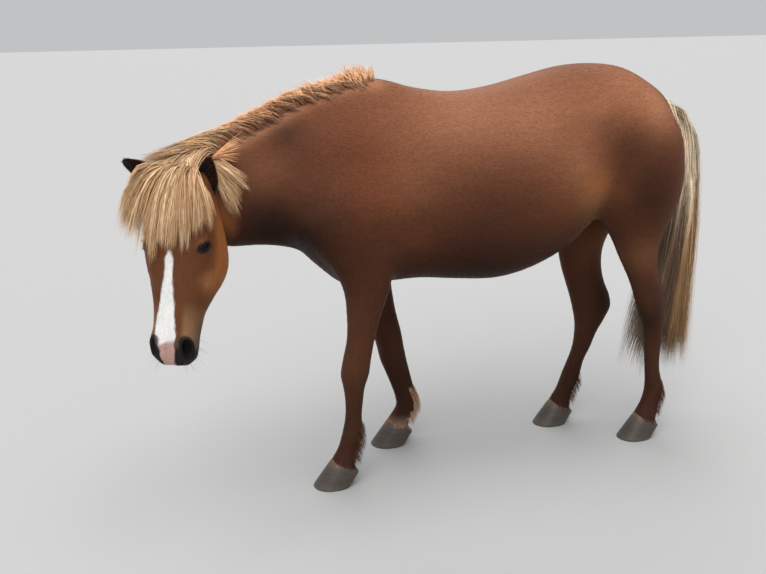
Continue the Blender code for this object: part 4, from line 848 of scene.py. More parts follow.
def thin_out(thing, mask, triangles):
    """Reduces the faces around the masked points to about a number of triangles."""
    mesh = thing.data
    inside = sum(len(face.vertices) - 2 for face in mesh.polygons if mask[face.vertices[0]])
    count = triangle_count(mesh)
    group = thing.vertex_groups.new(name="thin")
    group.add(np.nonzero(mask)[0].tolist(), 1.0, "REPLACE")
    modifier = thing.modifiers.new("thin", "DECIMATE")
    modifier.ratio = (count - inside + triangles) / count
    modifier.vertex_group = "thin"
    modifier.use_collapse_triangulate = True
    thing.data = evaluated_mesh(thing)
    thing.modifiers.clear()
    thing.vertex_groups.clear()


def eye_outward(side):
    """The way the eye looks: sideways and a little forward."""
    _, out_of_face, own_left = head_axes()
    return (own_left * side * math.cos(EYE_TURN_FORWARD)
            + out_of_face * math.sin(EYE_TURN_FORWARD)).normalized()


def ear_frame(name):
    """Base, axis, length, open side, wide way and bow of an ear."""
    base, tip, opening, bow = EARS[name]
    down_face, out_of_face, own_left = head_axes()
    base = on_head(*base)
    axis = on_head(*tip) - base
    length = axis.length
    axis = axis.normalized()
    face = down_face * opening[0] + out_of_face * opening[1] + own_left * opening[2]
    face = (face - axis * face.dot(axis)).normalized()
    return base, axis, length, face, axis.cross(face), bow


def ear_mesh(name, arc_points=EAR_ARC_POINTS, row_count=EAR_LEVELS):
    """The cup of an ear, as rings of an outer and an inner wall."""
    base, axis, length, face, wide, bow = ear_frame(name)
    rows = np.array(EAR_ROWS)
    rows = between(rows[:, 0], rows, np.linspace(0.0, 1.0, row_count))
    rings = []
    for share, half, deep, opened, wall in rows:
        centre = base + axis * (share * length)
        centre = centre + (face * EAR_BULGE + wide * bow) * math.sin(math.pi * share)
        angles = np.linspace(math.radians(opened), 2 * math.pi - math.radians(opened), arc_points)
        outer = [centre + face * (deep * math.cos(a)) + wide * (half * math.sin(a))
                 for a in angles]
        middle = centre + face * (deep * wall * 0.5)
        inner = [middle + face * (deep * (1 - wall) * math.cos(a))
                 + wide * (half * (1 - wall) * math.sin(a)) for a in angles[::-1]]
        rings.append([list(point) for point in outer + inner])
    return loft(name, np.array(rings))


def neck_row(share):
    """Middle, rise, side and half width of the neck at a share of its length."""
    flat = np.array([[*crest, *throat, half] for crest, throat, half in NECK])
    keys = np.linspace(0.0, 1.0, len(flat))
    at = np.array([share - 0.02, share, share + 0.02])
    rows = between(keys, flat, at)
    middle = (rows[:, 0:3] + rows[:, 3:6]) / 2
    rise = (rows[1, 0:3] - rows[1, 3:6]) / 2
    side = np.cross(middle[2] - middle[0], rise)
    return middle[1], rise, side / np.linalg.norm(side), rows[1, 6]


def on_neck(share, angle, grow):
    """A place around the neck: angle 90 is the crest, 0 the middle of its right side."""
    middle, rise, side, half = neck_row(min(share, 0.98))
    angle = math.radians(angle)
    up = rise * math.sin(angle) * (1 + grow / np.linalg.norm(rise))
    return Vector(middle + up + side * math.cos(angle) * (half + grow))


def mesh_from(name, points, triangles):
    """A mesh from arrays of points and triangles."""
    mesh = bpy.data.meshes.new(name)
    mesh.vertices.add(len(points))
    mesh.vertices.foreach_set("co", np.asarray(points, dtype=np.float32).ravel())
    mesh.loops.add(len(triangles) * 3)
    mesh.loops.foreach_set("vertex_index", np.asarray(triangles, dtype=np.int32).ravel())
    mesh.polygons.add(len(triangles))
    mesh.polygons.foreach_set("loop_start", np.arange(len(triangles), dtype=np.int32) * 3)
    mesh.update(calc_edges=True)
    mesh.validate()
    return mesh


def piece(name, mesh, look):
    """A finished piece, moved from the form's own axes into the row's frame."""
    set_points(mesh, points_of(mesh) - SHIFT)
    mesh.polygons.foreach_set("use_smooth", [True] * len(mesh.polygons))
    mesh.materials.clear()
    mesh.materials.append(look)
    thing = bpy.data.objects.new(name, mesh)
    bpy.context.scene.collection.objects.link(thing)
    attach(thing, "root")
    return thing


def paint(mesh, colours):
    """Stores a colour for every vertex."""
    layer = mesh.color_attributes.new("coat", "FLOAT_COLOR", "POINT")
    values = np.ones((len(mesh.vertices), 4), dtype=np.float32)
    values[:, :3] = colours
    layer.data.foreach_set("color", values.ravel())


def linear(red, green, blue):
    """A screen colour, 0 to 255, as linear light."""
    share = np.array((red, green, blue)) / 255.0
    return np.where(share <= 0.04045, share / 12.92, ((share + 0.055) / 1.055) ** 2.4)


def ramp(values, low, high):
    """0 below low, 1 above high, smooth between."""
    share = np.clip((values - low) / (high - low), 0.0, 1.0)
    return share * share * (3 - 2 * share)


def blend(colours, mask, colour):
    """Colours with another one laid over them by a mask."""
    return colours * (1 - mask[:, None]) + mask[:, None] * np.asarray(colour)


def ripple(points, scale, seed):
    """A smooth made-up unevenness between -1 and 1."""
    chance = np.random.default_rng(seed)
    total = np.zeros(len(points))
    for _ in range(6):
        way = chance.normal(size=3)
        total += np.sin(points @ (way / np.linalg.norm(way)) * scale * chance.uniform(0.6, 1.6)
                        + chance.uniform(0, 6.28))
    return total / 6.0 * 1.6


CHESTNUT = linear(109, 63, 41)
SHADE_BROWN = linear(76, 45, 32)
DARK_BROWN = linear(46, 29, 22)
# painted sheen: the light that the sky lays on the top of the back
PAINTED_SHEEN = linear(164, 110, 80)
RUST = linear(122, 66, 42)
GOLD = linear(170, 106, 58)
FACE_BROWN = linear(104, 63, 40)
WHITE = linear(240, 238, 234)
PINK = linear(204, 164, 154)
MUZZLE_GREY = linear(84, 80, 76)
SOOT = linear(24, 20, 20)
LEG_BROWN = linear(80, 49, 34)
# painted highlights and painted shade of the body, partly the coat's own lighter and darker places: x,
# height, radius, strength, colour
BODY_LIGHT_AND_SHADE = (
    (-0.34, 1.26, 0.14, 0.10, PAINTED_SHEEN),
    (-0.10, 1.27, 0.18, 0.60, PAINTED_SHEEN),
    (0.20, 1.26, 0.20, 0.65, PAINTED_SHEEN),
    (0.50, 1.34, 0.14, 0.50, PAINTED_SHEEN),
    (0.62, 1.25, 0.11, 0.75, PAINTED_SHEEN),
    (0.30, 1.05, 0.08, 0.45, PAINTED_SHEEN),
    (0.38, 1.00, 0.06, 0.60, GOLD),
    (0.37, 0.93, 0.06, 0.70, linear(160, 112, 74)),
    (-0.40, 1.02, 0.12, 0.30, RUST),
    (-0.28, 1.06, 0.10, 0.20, PAINTED_SHEEN),
    (-0.62, 1.12, 0.11, 0.35, SHADE_BROWN),
    (-0.72, 1.06, 0.10, 0.30, PAINTED_SHEEN),
    (-0.80, 0.97, 0.10, 0.45, SHADE_BROWN),
    (-0.70, 0.93, 0.09, 0.60, DARK_BROWN),
    (-0.58, 0.89, 0.15, 0.85, DARK_BROWN),
    (0.48, 1.12, 0.10, 0.55, SHADE_BROWN),
    (0.60, 1.05, 0.12, 0.45, SHADE_BROWN),
    (0.59, 0.93, 0.13, 0.70, DARK_BROWN),
    (0.59, 0.73, 0.07, 0.75, linear(128, 84, 54)),
    (0.66, 0.46, 0.11, 0.75, DARK_BROWN),
    (0.00, 0.84, 0.26, 0.60, SHADE_BROWN),
    (-0.05, 0.76, 0.26, 0.50, DARK_BROWN),
    (-0.42, 0.84, 0.12, 0.45, SHADE_BROWN),
    (-0.66, 1.22, 0.06, 0.45, DARK_BROWN),
)
# painted highlight on the facial crest, and a darker place near it: down, to the side, out, radius,
# strength, colour
FACE_PATCHES = (
    (0.300, 0.085, -0.045, 0.035, 0.50, linear(186, 126, 78)),
    (0.262, 0.088, -0.030, 0.022, 0.45, DARK_BROWN),
)


def coat_colour(points, normals):
    """Colour of the coat at places given in the form's own axes, with painted shade and painted
    highlights.
    """
    x, y, z = points.T
    colours = np.tile(CHESTNUT, (len(points), 1))
    uneven = ripple(points, 9.0, 3) * 0.5 + ripple(points, 23.0, 4) * 0.3
    neck = ramp(-x, 0.50, 0.80)
    colours = blend(colours, 0.50 * neck, SHADE_BROWN)
    # painted shade low on the neck
    colours = blend(colours, 0.55 * neck * ramp(1.08 - z, 0.0, 0.16), DARK_BROWN)
    # painted shade low on the barrel and under the belly
    belly = ramp(0.86 + 0.05 * uneven - z, 0.0, 0.18)
    colours = blend(colours, 0.60 * belly, SHADE_BROWN)
    leg = ramp(0.74 - z, 0.0, 0.22)
    colours = blend(colours, 0.75 * leg, LEG_BROWN)
    low = ramp(0.44 + 0.05 * uneven - z, 0.0, 0.22)
    colours = blend(colours, 0.55 * low, DARK_BROWN)
    # painted highlights and painted shade in patches, partly the coat's own tones
    for at_x, at_z, radius, strength, colour in BODY_LIGHT_AND_SHADE:
        away = ((x - at_x) ** 2 + (z - at_z) ** 2) / radius ** 2
        patch = np.clip(strength * np.exp(-away) * (1 + uneven * 0.6), 0, 1)
        colours = blend(colours, patch, colour)
    crest_line = [on_neck(place, 100.0, 0.0) for place in np.linspace(0.0, 0.95, 20)]
    crest = line_distance(points, crest_line)
    colours = blend(colours, 0.75 * np.exp(-(crest / 0.034) ** 2), linear(178, 124, 90))
    # painted shade on the inner sides of the legs
    inner_leg_shade = ramp(-np.sign(y) * normals[:, 1], 0.1, 0.8) * leg
    colours = colours * (1 - 0.30 * inner_leg_shade[:, None])
    feather = ramp(0.125 - z, 0.0, 0.05) * ramp(y, 0.04, 0.06) * ramp(-x, 0.0, 0.1)
    colours = blend(colours, 0.55 * feather, linear(170, 140, 115))
    # painted shade: surfaces that face down are darker, less so on the legs
    under = ramp(0.15 - normals[:, 2], 0.0, 0.9) * (1 - 0.6 * leg)
    colours = colours * (1 - 0.42 * under[:, None])
    on_face = face_share(points)
    colours = colours * (1 - on_face[:, None]) + on_face[:, None] * face_colour(points)
    return np.clip(colours * (1 + 0.10 * uneven[:, None]), 0.0, 1.0)


def face_share(points):
    """1 on the head, 0 on the neck."""
    places = along_head(points)
    (down_a, out_a), (down_b, out_b) = HEAD_CUT
    normal = np.array((out_a - out_b, down_b - down_a))
    normal /= np.linalg.norm(normal)
    depth = (places[:, 0] - down_a) * normal[0] + (places[:, 1] - out_a) * normal[1]
    reach = 1 - ramp(np.linalg.norm(places - np.array(HEAD_MIDDLE), axis=1), 0.40, 0.46)
    return ramp(depth, -0.035, 0.030) * reach


def face_colour(points):
    """Tan cheeks, a grey muzzle, a white blaze with a pink snip, dark eyes, dark nostrils with painted
    shade deep inside, and painted highlights on the facial crests and lids.
    """
    places = along_head(points)
    down, out, left = places.T
    side = np.abs(left)
    uneven = ripple(points, 40.0, 7)
    colours = np.tile(FACE_BROWN, (len(points), 1))
    cheek = ramp(side, 0.060, 0.095) * ramp(-out, 0.00, 0.06) * ramp(down, 0.02, 0.16)
    cheek *= 1 - ramp(down, 0.26, 0.42)
    colours = blend(colours, 0.95 * cheek, linear(172, 106, 58))
    # painted highlight on the facial crest, and a darker place near it
    for at_down, at_side, at_out, radius, strength, colour in FACE_PATCHES:
        away = ((down - at_down) ** 2 + (side - at_side) ** 2 + (out - at_out) ** 2) / radius ** 2
        colours = blend(colours, strength * np.exp(-away), colour)
    nose_side = ramp(down, 0.36, 0.44) * ramp(side, 0.030, 0.050)
    colours = blend(colours, 0.55 * nose_side, linear(158, 122, 88))
    smoky = ramp(down, 0.40, 0.46) * ramp(-out, 0.022, 0.060)
    colours = blend(colours, 0.75 * smoky, MUZZLE_GREY)
    tip = ramp(down + 0.006 * uneven, 0.470, 0.515)
    colours = blend(colours, 0.85 * tip, MUZZLE_GREY)
    lips = ramp(down + 0.004 * uneven, 0.498, 0.522)
    colours = blend(colours, 0.92 * lips, linear(30, 27, 28))
    front = ramp(out, -0.045, -0.02)
    middle = np.interp(down, (0.28, 0.45, 0.50, 0.55), (-0.004, -0.014, -0.012, -0.002))
    half = np.interp(down, (0.225, 0.25, 0.30, 0.37, 0.43, 0.47, 0.50, 0.52, 0.55),
                     (0.002, 0.012, 0.014, 0.021, 0.028, 0.033, 0.030, 0.025, 0.018))
    edge = half + 0.0025 * uneven
    edge += (0.0015 + 0.003 * ramp(down, 0.49, 0.51)) * ripple(points, 160.0, 8)
    blaze = ramp(edge - np.abs(left - middle), -0.0025, 0.0025) * ramp(down, 0.222, 0.235) * front
    flecks = ramp(ripple(points, 420.0, 9) + 0.5 * ripple(points, 250.0, 10), 1.0, 1.35)
    blaze *= 1 - 0.55 * flecks * ramp(down, 0.26, 0.30) * (1 - ramp(down, 0.40, 0.44))
    pink = ramp(down + 0.010 * uneven + 0.004 * ripple(points, 170.0, 12) + 0.16 * (left - middle),
                0.490, 0.503)[:, None]
    blaze_colour = WHITE * (1 - pink) + PINK * 0.85 * pink * (1 - 0.4 * flecks[:, None])
    colours = colours * (1 - blaze[:, None]) + blaze_colour * blaze[:, None]
    mouth = line_distance(np.stack([down, out, side], axis=1), MOUTH_LINE)
    colours = blend(colours, 0.8 * np.exp(-(mouth / 0.004) ** 2), SOOT)
    for at_side in (1, -1):
        rim, along, _ = nostril_reach(places, at_side)
        rim = np.where(np.abs(along) < 0.05, rim, 9.0)
        # dark skin around each nostril, and painted shade deep in its pit
        colours = blend(colours, 0.92 * (1 - ramp(rim, 1.15, 1.45)), linear(26, 24, 25))
        colours = blend(colours, 1 - ramp(rim, 0.70, 0.98), SOOT * 0.5)
        _, long_way, high_way = (np.array(way) for way in eye_frame(at_side))
        away = points - np.array(eye_centre(at_side))
        spot = np.sqrt((away @ long_way / 0.0225) ** 2 + (away @ high_way / 0.0150) ** 2)
        near = np.linalg.norm(away, axis=1) < 0.06
        colours = blend(colours, 0.85 * (1 - ramp(spot, 0.85, 1.25)) * near, SOOT)
        # painted highlight on the upper lid, above the eye
        over = (away @ high_way - 0.021) ** 2 + (away @ long_way) ** 2 * 0.3
        colours = blend(colours, 0.25 * np.exp(-over / 0.008 ** 2) * near, GOLD)
    return colours


class Look:
    """A small helper that wires up one material."""

    def __init__(self, name, roughness, specular=0.5, sheen=0.0, sheen_colour=(1, 1, 1), coat=0.0):
        self.material = bpy.data.materials.new(name)
        self.material.use_nodes = True
        self.nodes = self.material.node_tree.nodes
        self.links = self.material.node_tree.links
        self.shader = self.nodes["Principled BSDF"]
        self.shader.inputs["Roughness"].default_value = roughness
        self.shader.inputs["Specular IOR Level"].default_value = specular
        self.shader.inputs["Sheen Weight"].default_value = sheen
        self.shader.inputs["Sheen Roughness"].default_value = 0.45
        self.shader.inputs["Sheen Tint"].default_value = (*sheen_colour, 1.0)
        self.shader.inputs["Coat Weight"].default_value = coat
        self.shader.inputs["Coat Roughness"].default_value = 0.04

    def node(self, kind, **settings):
        made = self.nodes.new(kind)
        for key, value in settings.items():
            setattr(made, key, value)
        return made

    def noise(self, scale, stretch=(1, 1, 1), detail=3.0):
        place = self.node("ShaderNodeTexCoord")
        mapping = self.node("ShaderNodeMapping")
        mapping.inputs["Scale"].default_value = stretch
        self.links.new(place.outputs["Object"], mapping.inputs["Vector"])
        noise = self.node("ShaderNodeTexNoise")
        noise.inputs["Scale"].default_value = scale
        noise.inputs["Detail"].default_value = detail
        self.links.new(mapping.outputs["Vector"], noise.inputs["Vector"])
        return noise.outputs["Fac"]

    def mix(self, factor, first, second):
        made = self.node("ShaderNodeMix", data_type="FLOAT")
        self.links.new(factor, made.inputs[0])
        self.links.new(first, made.inputs[2])
        self.links.new(second, made.inputs[3])
        return made.outputs[0]

    def spread(self, value, low, high):
        made = self.node("ShaderNodeMapRange")
        self.links.new(value, made.inputs["Value"])
        made.inputs["From Min"].default_value = 0.3
        made.inputs["From Max"].default_value = 0.7
        made.inputs["To Min"].default_value = low
        made.inputs["To Max"].default_value = high
        return made.outputs["Result"]

    def painted(self, tone):
        """Vertex colours times a tone that varies over the surface."""
        attribute = self.node("ShaderNodeAttribute", attribute_name="coat")
        brightness = self.node("ShaderNodeVectorMath", operation="SCALE")
        self.links.new(attribute.outputs["Color"], brightness.inputs[0])
        self.links.new(tone, brightness.inputs["Scale"])
        self.links.new(brightness.outputs["Vector"], self.shader.inputs["Base Color"])

    def bump(self, height, distance, strength=1.0):
        made = self.node("ShaderNodeBump")
        made.inputs["Strength"].default_value = strength
        made.inputs["Distance"].default_value = distance
        self.links.new(height, made.inputs["Height"])
        self.links.new(made.outputs["Normal"], self.shader.inputs["Normal"])


def skin_look():
    """Short hair lying back along the body, down the legs and down the face."""
    look = Look("coat_skin", 0.52, 0.07)
    lengthwise = look.noise(1.0, (70, 420, 420), 4.0)
    downwards = look.noise(1.0, (420, 420, 80), 4.0)
    leg = look.node("ShaderNodeAttribute", attribute_name="leg")
    strands = look.mix(leg.outputs["Fac"], lengthwise, downwards)
    clumps_long = look.noise(1.0, (14, 70, 55), 3.0)
    clumps_down = look.noise(1.0, (70, 70, 18), 3.0)
    clumps = look.mix(leg.outputs["Fac"], clumps_long, clumps_down)
    add = look.node("ShaderNodeMath", operation="MULTIPLY")
    look.links.new(look.spread(strands, 0.88, 1.12), add.inputs[0])
    look.links.new(look.spread(clumps, 0.93, 1.07), add.inputs[1])
    look.painted(add.outputs[0])
    total = look.node("ShaderNodeMath", operation="ADD")
    look.links.new(strands, total.inputs[0])
    look.links.new(clumps, total.inputs[1])
    look.bump(total.outputs[0], 0.0012, 0.4)
    return look.material


def hair_look(name, roughness, specular, sheen):
    look = Look(name, roughness, specular, sheen=sheen, sheen_colour=(1.0, 0.88, 0.72))
    look.painted(look.spread(look.noise(60.0, (1, 1, 1), 2.0), 0.90, 1.10))
    return look.material


def horn_look():
    look = Look("hoof_horn", 0.48, 0.4)
    rings = look.noise(1.0, (18, 18, 320), 3.0)
    grain = look.noise(1.0, (260, 260, 30), 2.0)
    tone = look.node("ShaderNodeMath", operation="MULTIPLY")
    look.links.new(look.spread(rings, 0.75, 1.2), tone.inputs[0])
    look.links.new(look.spread(grain, 0.9, 1.1), tone.inputs[1])
    look.painted(tone.outputs[0])
    look.bump(rings, 0.0012, 0.6)
    return look.material


def eye_look():
    look = Look("eye_wet", 0.06, 0.09, coat=0.02)
    look.painted(look.spread(look.noise(240.0), 0.9, 1.1))
    return look.material


def lid_look():
    look = Look("lid_skin", 0.45, 0.25)
    grain = look.noise(500.0)
    look.painted(look.spread(grain, 0.85, 1.15))
    look.bump(grain, 0.0006, 0.5)
    return look.material


def leg_share(points):
    """1 where the coat lies downwards: legs and head."""
    return np.maximum(ramp(0.80 - points[:, 2], 0.0, 0.10), face_share(points))


def eye_mesh(side):
    """Eyeball with a slight bulge of the cornea, painted with iris and a wide pupil."""
    outward, long_way, high_way = eye_frame(side)
    mesh = sphere_mesh("eye", Vector((0, 0, 0)), 1.0, 48, 32)
    points = points_of(mesh)
    facing = points @ np.array(outward)
    bulge = 1 + 0.07 * ramp(facing, 0.72, 0.96)
    along = points @ np.array(long_way)
    high = points @ np.array(high_way)
    radial = np.sqrt(along ** 2 + high ** 2)
    iris = (1 - ramp(radial, 0.56, 0.62)) * (facing > 0)
    pupil = (1 - ramp(np.sqrt((along / 0.36) ** 2 + (high / 0.17) ** 2), 0.85, 1.1)) * (facing > 0)
    colours = np.tile(linear(30, 20, 17), (len(points), 1))
    streaks = 1 + 0.25 * np.sin(np.arctan2(high, along) * 37.0)
    colours = blend(colours, iris, linear(26, 14, 9)) * streaks[:, None]
    colours = blend(colours, pupil, linear(4, 4, 6))
    set_points(mesh, np.array(eye_centre(side)) + points * (EYE_RADIUS * bulge)[:, None])
    paint(mesh, colours)
    return mesh


def tube(name, path, radii, closed):
    """A round tube along a path."""
    points = np.array([list(point) for point in path])
    count = len(points)
    if closed:
        ahead = np.roll(points, -1, axis=0) - np.roll(points, 1, axis=0)
    else:
        ahead = np.gradient(points, axis=0)
    ahead /= np.linalg.norm(ahead, axis=1, keepdims=True)
    middle = points.mean(axis=0)
    outward = points - middle
    outward -= ahead * np.sum(outward * ahead, axis=1, keepdims=True)
    outward /= np.linalg.norm(outward, axis=1, keepdims=True)
    across = np.cross(ahead, outward)
    turn = np.linspace(0, 2 * math.pi, TUBE_SIDES, endpoint=False)
    spokes = (np.cos(turn)[None, :, None] * outward[:, None]
              + np.sin(turn)[None, :, None] * across[:, None])
    rings = points[:, None] + np.asarray(radii)[:, None, None] * spokes
    if not closed:
        return loft(name, rings)
    triangles = []
    for ring in range(count):
        after = (ring + 1) % count
        for i in range(TUBE_SIDES):
            j = (i + 1) % TUBE_SIDES
            here = ring * TUBE_SIDES
            there = after * TUBE_SIDES
            triangles.append((here + i, here + j, there + j))
            triangles.append((here + i, there + j, there + i))
    return mesh_from(name, rings.reshape(-1, 3), triangles)


def joined(name, meshes):
    """Several meshes as one, with their colours."""
    points = []
    triangles = []
    colours = []
    offset = 0
    for mesh in meshes:
        shape = bmesh.new()
        shape.from_mesh(mesh)
        bmesh.ops.triangulate(shape, faces=shape.faces)
        shape.to_mesh(mesh)
        shape.free()
        points.append(points_of(mesh))
        triangles.append(loop_corners(mesh).reshape(-1, 3) + offset)
        values = np.ones(len(mesh.vertices) * 4, dtype=np.float32)
        if "coat" in mesh.color_attributes:
            mesh.color_attributes["coat"].data.foreach_get("color", values)
        colours.append(values.reshape(-1, 4)[:, :3])
        offset += len(mesh.vertices)
        bpy.data.meshes.remove(mesh)
    made = mesh_from(name, np.concatenate(points), np.concatenate(triangles))
    paint(made, np.concatenate(colours))
    return made


def around_eye(side, reach, widen, count):
    """Points around the lids' opening, at a distance out from the eye's middle."""
    outward, long_way, high_way = eye_frame(side)
    points = []
    for along, high in almond(count):
        along *= widen
        high *= widen
        flat = math.sqrt(max(0.0, reach ** 2 - along ** 2 - high ** 2))
        points.append(eye_centre(side) + outward * flat + long_way * along + high_way * high)
    return points


def lids_mesh(side):
    """Rims of the lids, with a crease above and a fold below."""
    rim_path = around_eye(side, EYE_RADIUS + 0.0014, 1.02, LID_POINTS)
    rim = tube("rim", rim_path, [0.0019] * LID_POINTS, True)
    paint(rim, np.tile(linear(20, 15, 14), (len(rim.vertices), 1)))
    meshes = [rim]
    for widen, start, end, thick, grow in LID_FOLDS:
        ring = around_eye(side, EYE_RADIUS + grow, widen, LID_POINTS)
        path = ring[start:end]
        radii = [thick * math.sin(math.pi * (i + 0.5) / len(path)) ** 0.5
                 for i in range(len(path))]
        fold = tube("fold", path, radii, False)
        # the folds are painted near-black as painted shade in the lids' creases
        paint(fold, np.tile(DARK_BROWN * 0.45, (len(fold.vertices), 1)))
        meshes.append(fold)
    return joined("lids", meshes)


def ear_piece(name):
    """The ear's cup, darker at the tip and near-black inside and at its mouth, with painted shade."""
    mesh = ear_mesh(name, EAR_CUP_ARC_POINTS, EAR_CUP_LEVELS)
    points = points_of(mesh)
    base, tip, facing, _ = EARS[name]
    base = np.array(on_head(*base))
    facing = sum(np.array(way) * part for way, part in zip(head_axes(), facing))
    axis = np.array(on_head(*tip)) - base
    length = np.linalg.norm(axis)
    axis /= length
    share = (points - base) @ axis / length
    inner = np.arange(len(points)) % (EAR_CUP_ARC_POINTS * 2) >= EAR_CUP_ARC_POINTS
    outside = np.tile(linear(110, 66, 42), (len(points), 1))
    outside = blend(outside, ramp(share, 0.6, 1.0), linear(84, 50, 36))
    # painted shade at the cup's mouth, low on the ear
    mouth = ramp((points - base - np.outer(share * length, axis)) @ facing, 0.002, 0.012)
    outside = blend(outside, 0.9 * mouth * (1 - ramp(share, 0.30, 0.55)), linear(26, 18, 15))
    # near-black inside: the cup's dark skin with painted shade of its hollow, less towards the tip
    inside = np.tile(linear(20, 14, 12), (len(points), 1))
    inside = blend(inside, 0.4 * ramp(share, 0.6, 1.0), linear(60, 38, 30))
    paint(mesh, np.where(inner[:, None], inside, outside))
    return mesh


def hoof_piece(name):
    """The hoof's horn with its coronet band and flat sole."""
    front, _, middle, half = HOOVES[name]
    toe = front - CORONET_FRONT_HEIGHT / math.tan(HOOF_TOE_SLOPE)
    heel = toe + HOOF_GROUND_LENGTH
    across, along = egg(48, 3.0, 2.0)
    rings = []
    for z, inset in HOOF_LEVELS:
        start = toe + z / math.tan(HOOF_TOE_SLOPE) + inset
        end = heel + z * HOOF_HEEL_LEAN - inset
        wide = half - inset - HOOF_TAPER * z
        share = (along + 1) / 2
        over = max(0.0, z - CORONET_FRONT_HEIGHT)
        if z < CORONET_FRONT_HEIGHT:
            height = z * (1 - share) + z * 0.5 * share
        else:
            height = z * (1 - share) + (CORONET_BACK_HEIGHT + over * 0.6) * share
        coronet = CORONET_FRONT_HEIGHT * (1 - share) + CORONET_BACK_HEIGHT * share
        lengthwise = (start + end) / 2 + along * (end - start) / 2
        rings.append(np.stack([lengthwise, middle + across * wide, np.minimum(height, coronet + over)],
                              axis=1))
    mesh = loft(name, np.array(rings))
    points = points_of(mesh)
    colours = np.tile(linear(72, 64, 58), (len(points), 1))
    colours = blend(colours, ramp(points[:, 2], 0.06, 0.09), linear(96, 80, 68))
    colours = blend(colours, 1 - ramp(points[:, 2], 0.0, 0.02), linear(92, 84, 74))
    paint(mesh, colours)
    return mesh


class Coat:
    """Keeps hair on the skin, beside the ears and away from the eyes."""

    def __init__(self, mesh):
        corners = loop_corners(mesh)
        starts = np.empty(len(mesh.polygons), dtype=np.int32)
        sizes = np.empty(len(mesh.polygons), dtype=np.int32)
        mesh.polygons.foreach_get("loop_start", starts)
        mesh.polygons.foreach_get("loop_total", sizes)
        self.points = points_of(mesh)
        self.faces = [tuple(corners[a:a + n]) for a, n in zip(starts.tolist(), sizes.tolist())]
        self.tree = BVHTree.FromPolygons(self.points.tolist(), self.faces)
        self.ears = [(*ear_frame(name), bare) for name, bare in zip(EARS, EAR_BARE_FROM)]
        self.eyes = [eye_centre(side) + eye_outward(side) * 0.006 for side in (1, -1)]

    def nearest(self, point):
        place, normal, _, _ = self.tree.find_nearest(point)
        return place, normal

    def ear_sides(self, path):
        """Which side of each ear a hair lies on, from the middle of its points beside the ear."""
        sides = []
        for base, axis, length, _, wide, _, _ in self.ears:
            beside = [(point - base).dot(wide) for point in path
                      if -0.10 < (point - base).dot(axis) / length < 1.12]
            sides.append(math.copysign(1.0, sum(beside)))
        return sides

    def aside(self, point, ear_sides):
        """The point, moved beside the ears and away from the eyes."""
        for (base, axis, length, face, wide, bow, bare), ear_side in zip(self.ears, ear_sides):
            away = point - base
            share = away.dot(axis) / length
            front = away.dot(face)
            if max(bare, (front - 0.015) * 8.0) < share < 1.12:
                bulge = math.sin(math.pi * min(1.0, share))
                half = EAR_HAIR_GAP * (0.55 + 0.45 * bulge)
                across = away.dot(wide) - bow * bulge
                if abs(across) < half and -0.028 < front < 0.12:
                    if front < -0.012:
                        point = point - face * (front + 0.028)
                    else:
                        point = point + wide * (ear_side * half - across)
        for eye in self.eyes:
            away = point - eye
            if away.length < EYE_HAIR_GAP:
                point = point + away.normalized() * (EYE_HAIR_GAP - away.length)
        return point

    def raised(self, point, lift):
        """The point, moved out of the skin, and the way out of the skin there."""
        near, normal = self.nearest(point)
        height = (point - near).dot(normal)
        if height < lift:
            point = point + normal * (lift - height)
        return point, normal


def open_lids(mesh):
    """Sinks the skin behind the eyeball in the lids' opening and keeps the lids clear of it."""
    points = points_of(mesh)
    for side in (1, -1):
        centre = np.array(eye_centre(side))
        outward, long_way, high_way = (np.array(way) for way in eye_frame(side))
        away = points - centre
        reach = np.linalg.norm(away, axis=1)
        in_front = (away @ outward > 0) & (reach < EYE_RADIUS + 0.012)
        along = away @ long_way
        high = away @ high_way
        sine = np.sqrt(np.clip(1 - (along / (LID_OPENING_LENGTH / 2)) ** 2, 0, 1))
        arch = np.where(high > 0, LID_UPPER_SHARE, 1 - LID_UPPER_SHARE)
        room = sine ** LID_ARCH * LID_OPENING_HEIGHT * arch - np.abs(high)
        room[np.abs(along) > LID_OPENING_LENGTH / 2] = -1.0
        inside = ramp(room, -0.0004, 0.0008) * in_front
        wanted = np.where(in_front, np.maximum(reach, EYE_RADIUS + LID_MARGIN), reach)
        wanted = wanted * (1 - inside) + (EYE_RADIUS - 0.002) * inside
        points = centre + away * (wanted / np.maximum(reach, 1e-6))[:, None]
    set_points(mesh, points)


def skin_mesh():
    """The whole skin, finer than the solids and a coat's depth inside them."""
    thing = melted(body_meshes(), VOXEL)
    mesh = thing.data
    smooth_flesh(mesh)
    refine_head(mesh)
    for side in (1, -1):
        refine(mesh, eye_centre(side), EYE_FINEST_REACH)
    shape_body(mesh)
    shape_face(mesh)
    points = points_of(mesh)
    eyes = np.min([np.linalg.norm(points - np.array(eye_centre(side)), axis=1)
                   for side in (1, -1)], axis=0)
    on_face = face_share(points)
    depth = (COAT_DEPTH * (1 - on_face) + FACE_COAT_DEPTH * on_face) * ramp(eyes, 0.026, 0.045)
    set_points(mesh, points - normals_of(mesh) * depth[:, None])
    open_lids(mesh)
    on_the_head, _ = head_zones(mesh)
    thin_out(thing, ~on_the_head, SKIN_BODY_TRIANGLES)
    on_the_head, fine = head_zones(thing.data)
    thin_out(thing, on_the_head & ~fine, SKIN_HEAD_TRIANGLES)
    mesh = thing.data
    bpy.data.objects.remove(thing)
    return mesh


def corners_of(mesh):
    """Triangle corners of a mesh as an array."""
    mesh.calc_loop_triangles()
    corners = np.empty(len(mesh.loop_triangles) * 3, dtype=np.int32)
    mesh.loop_triangles.foreach_get("vertices", corners)
    return corners.reshape(-1, 3)


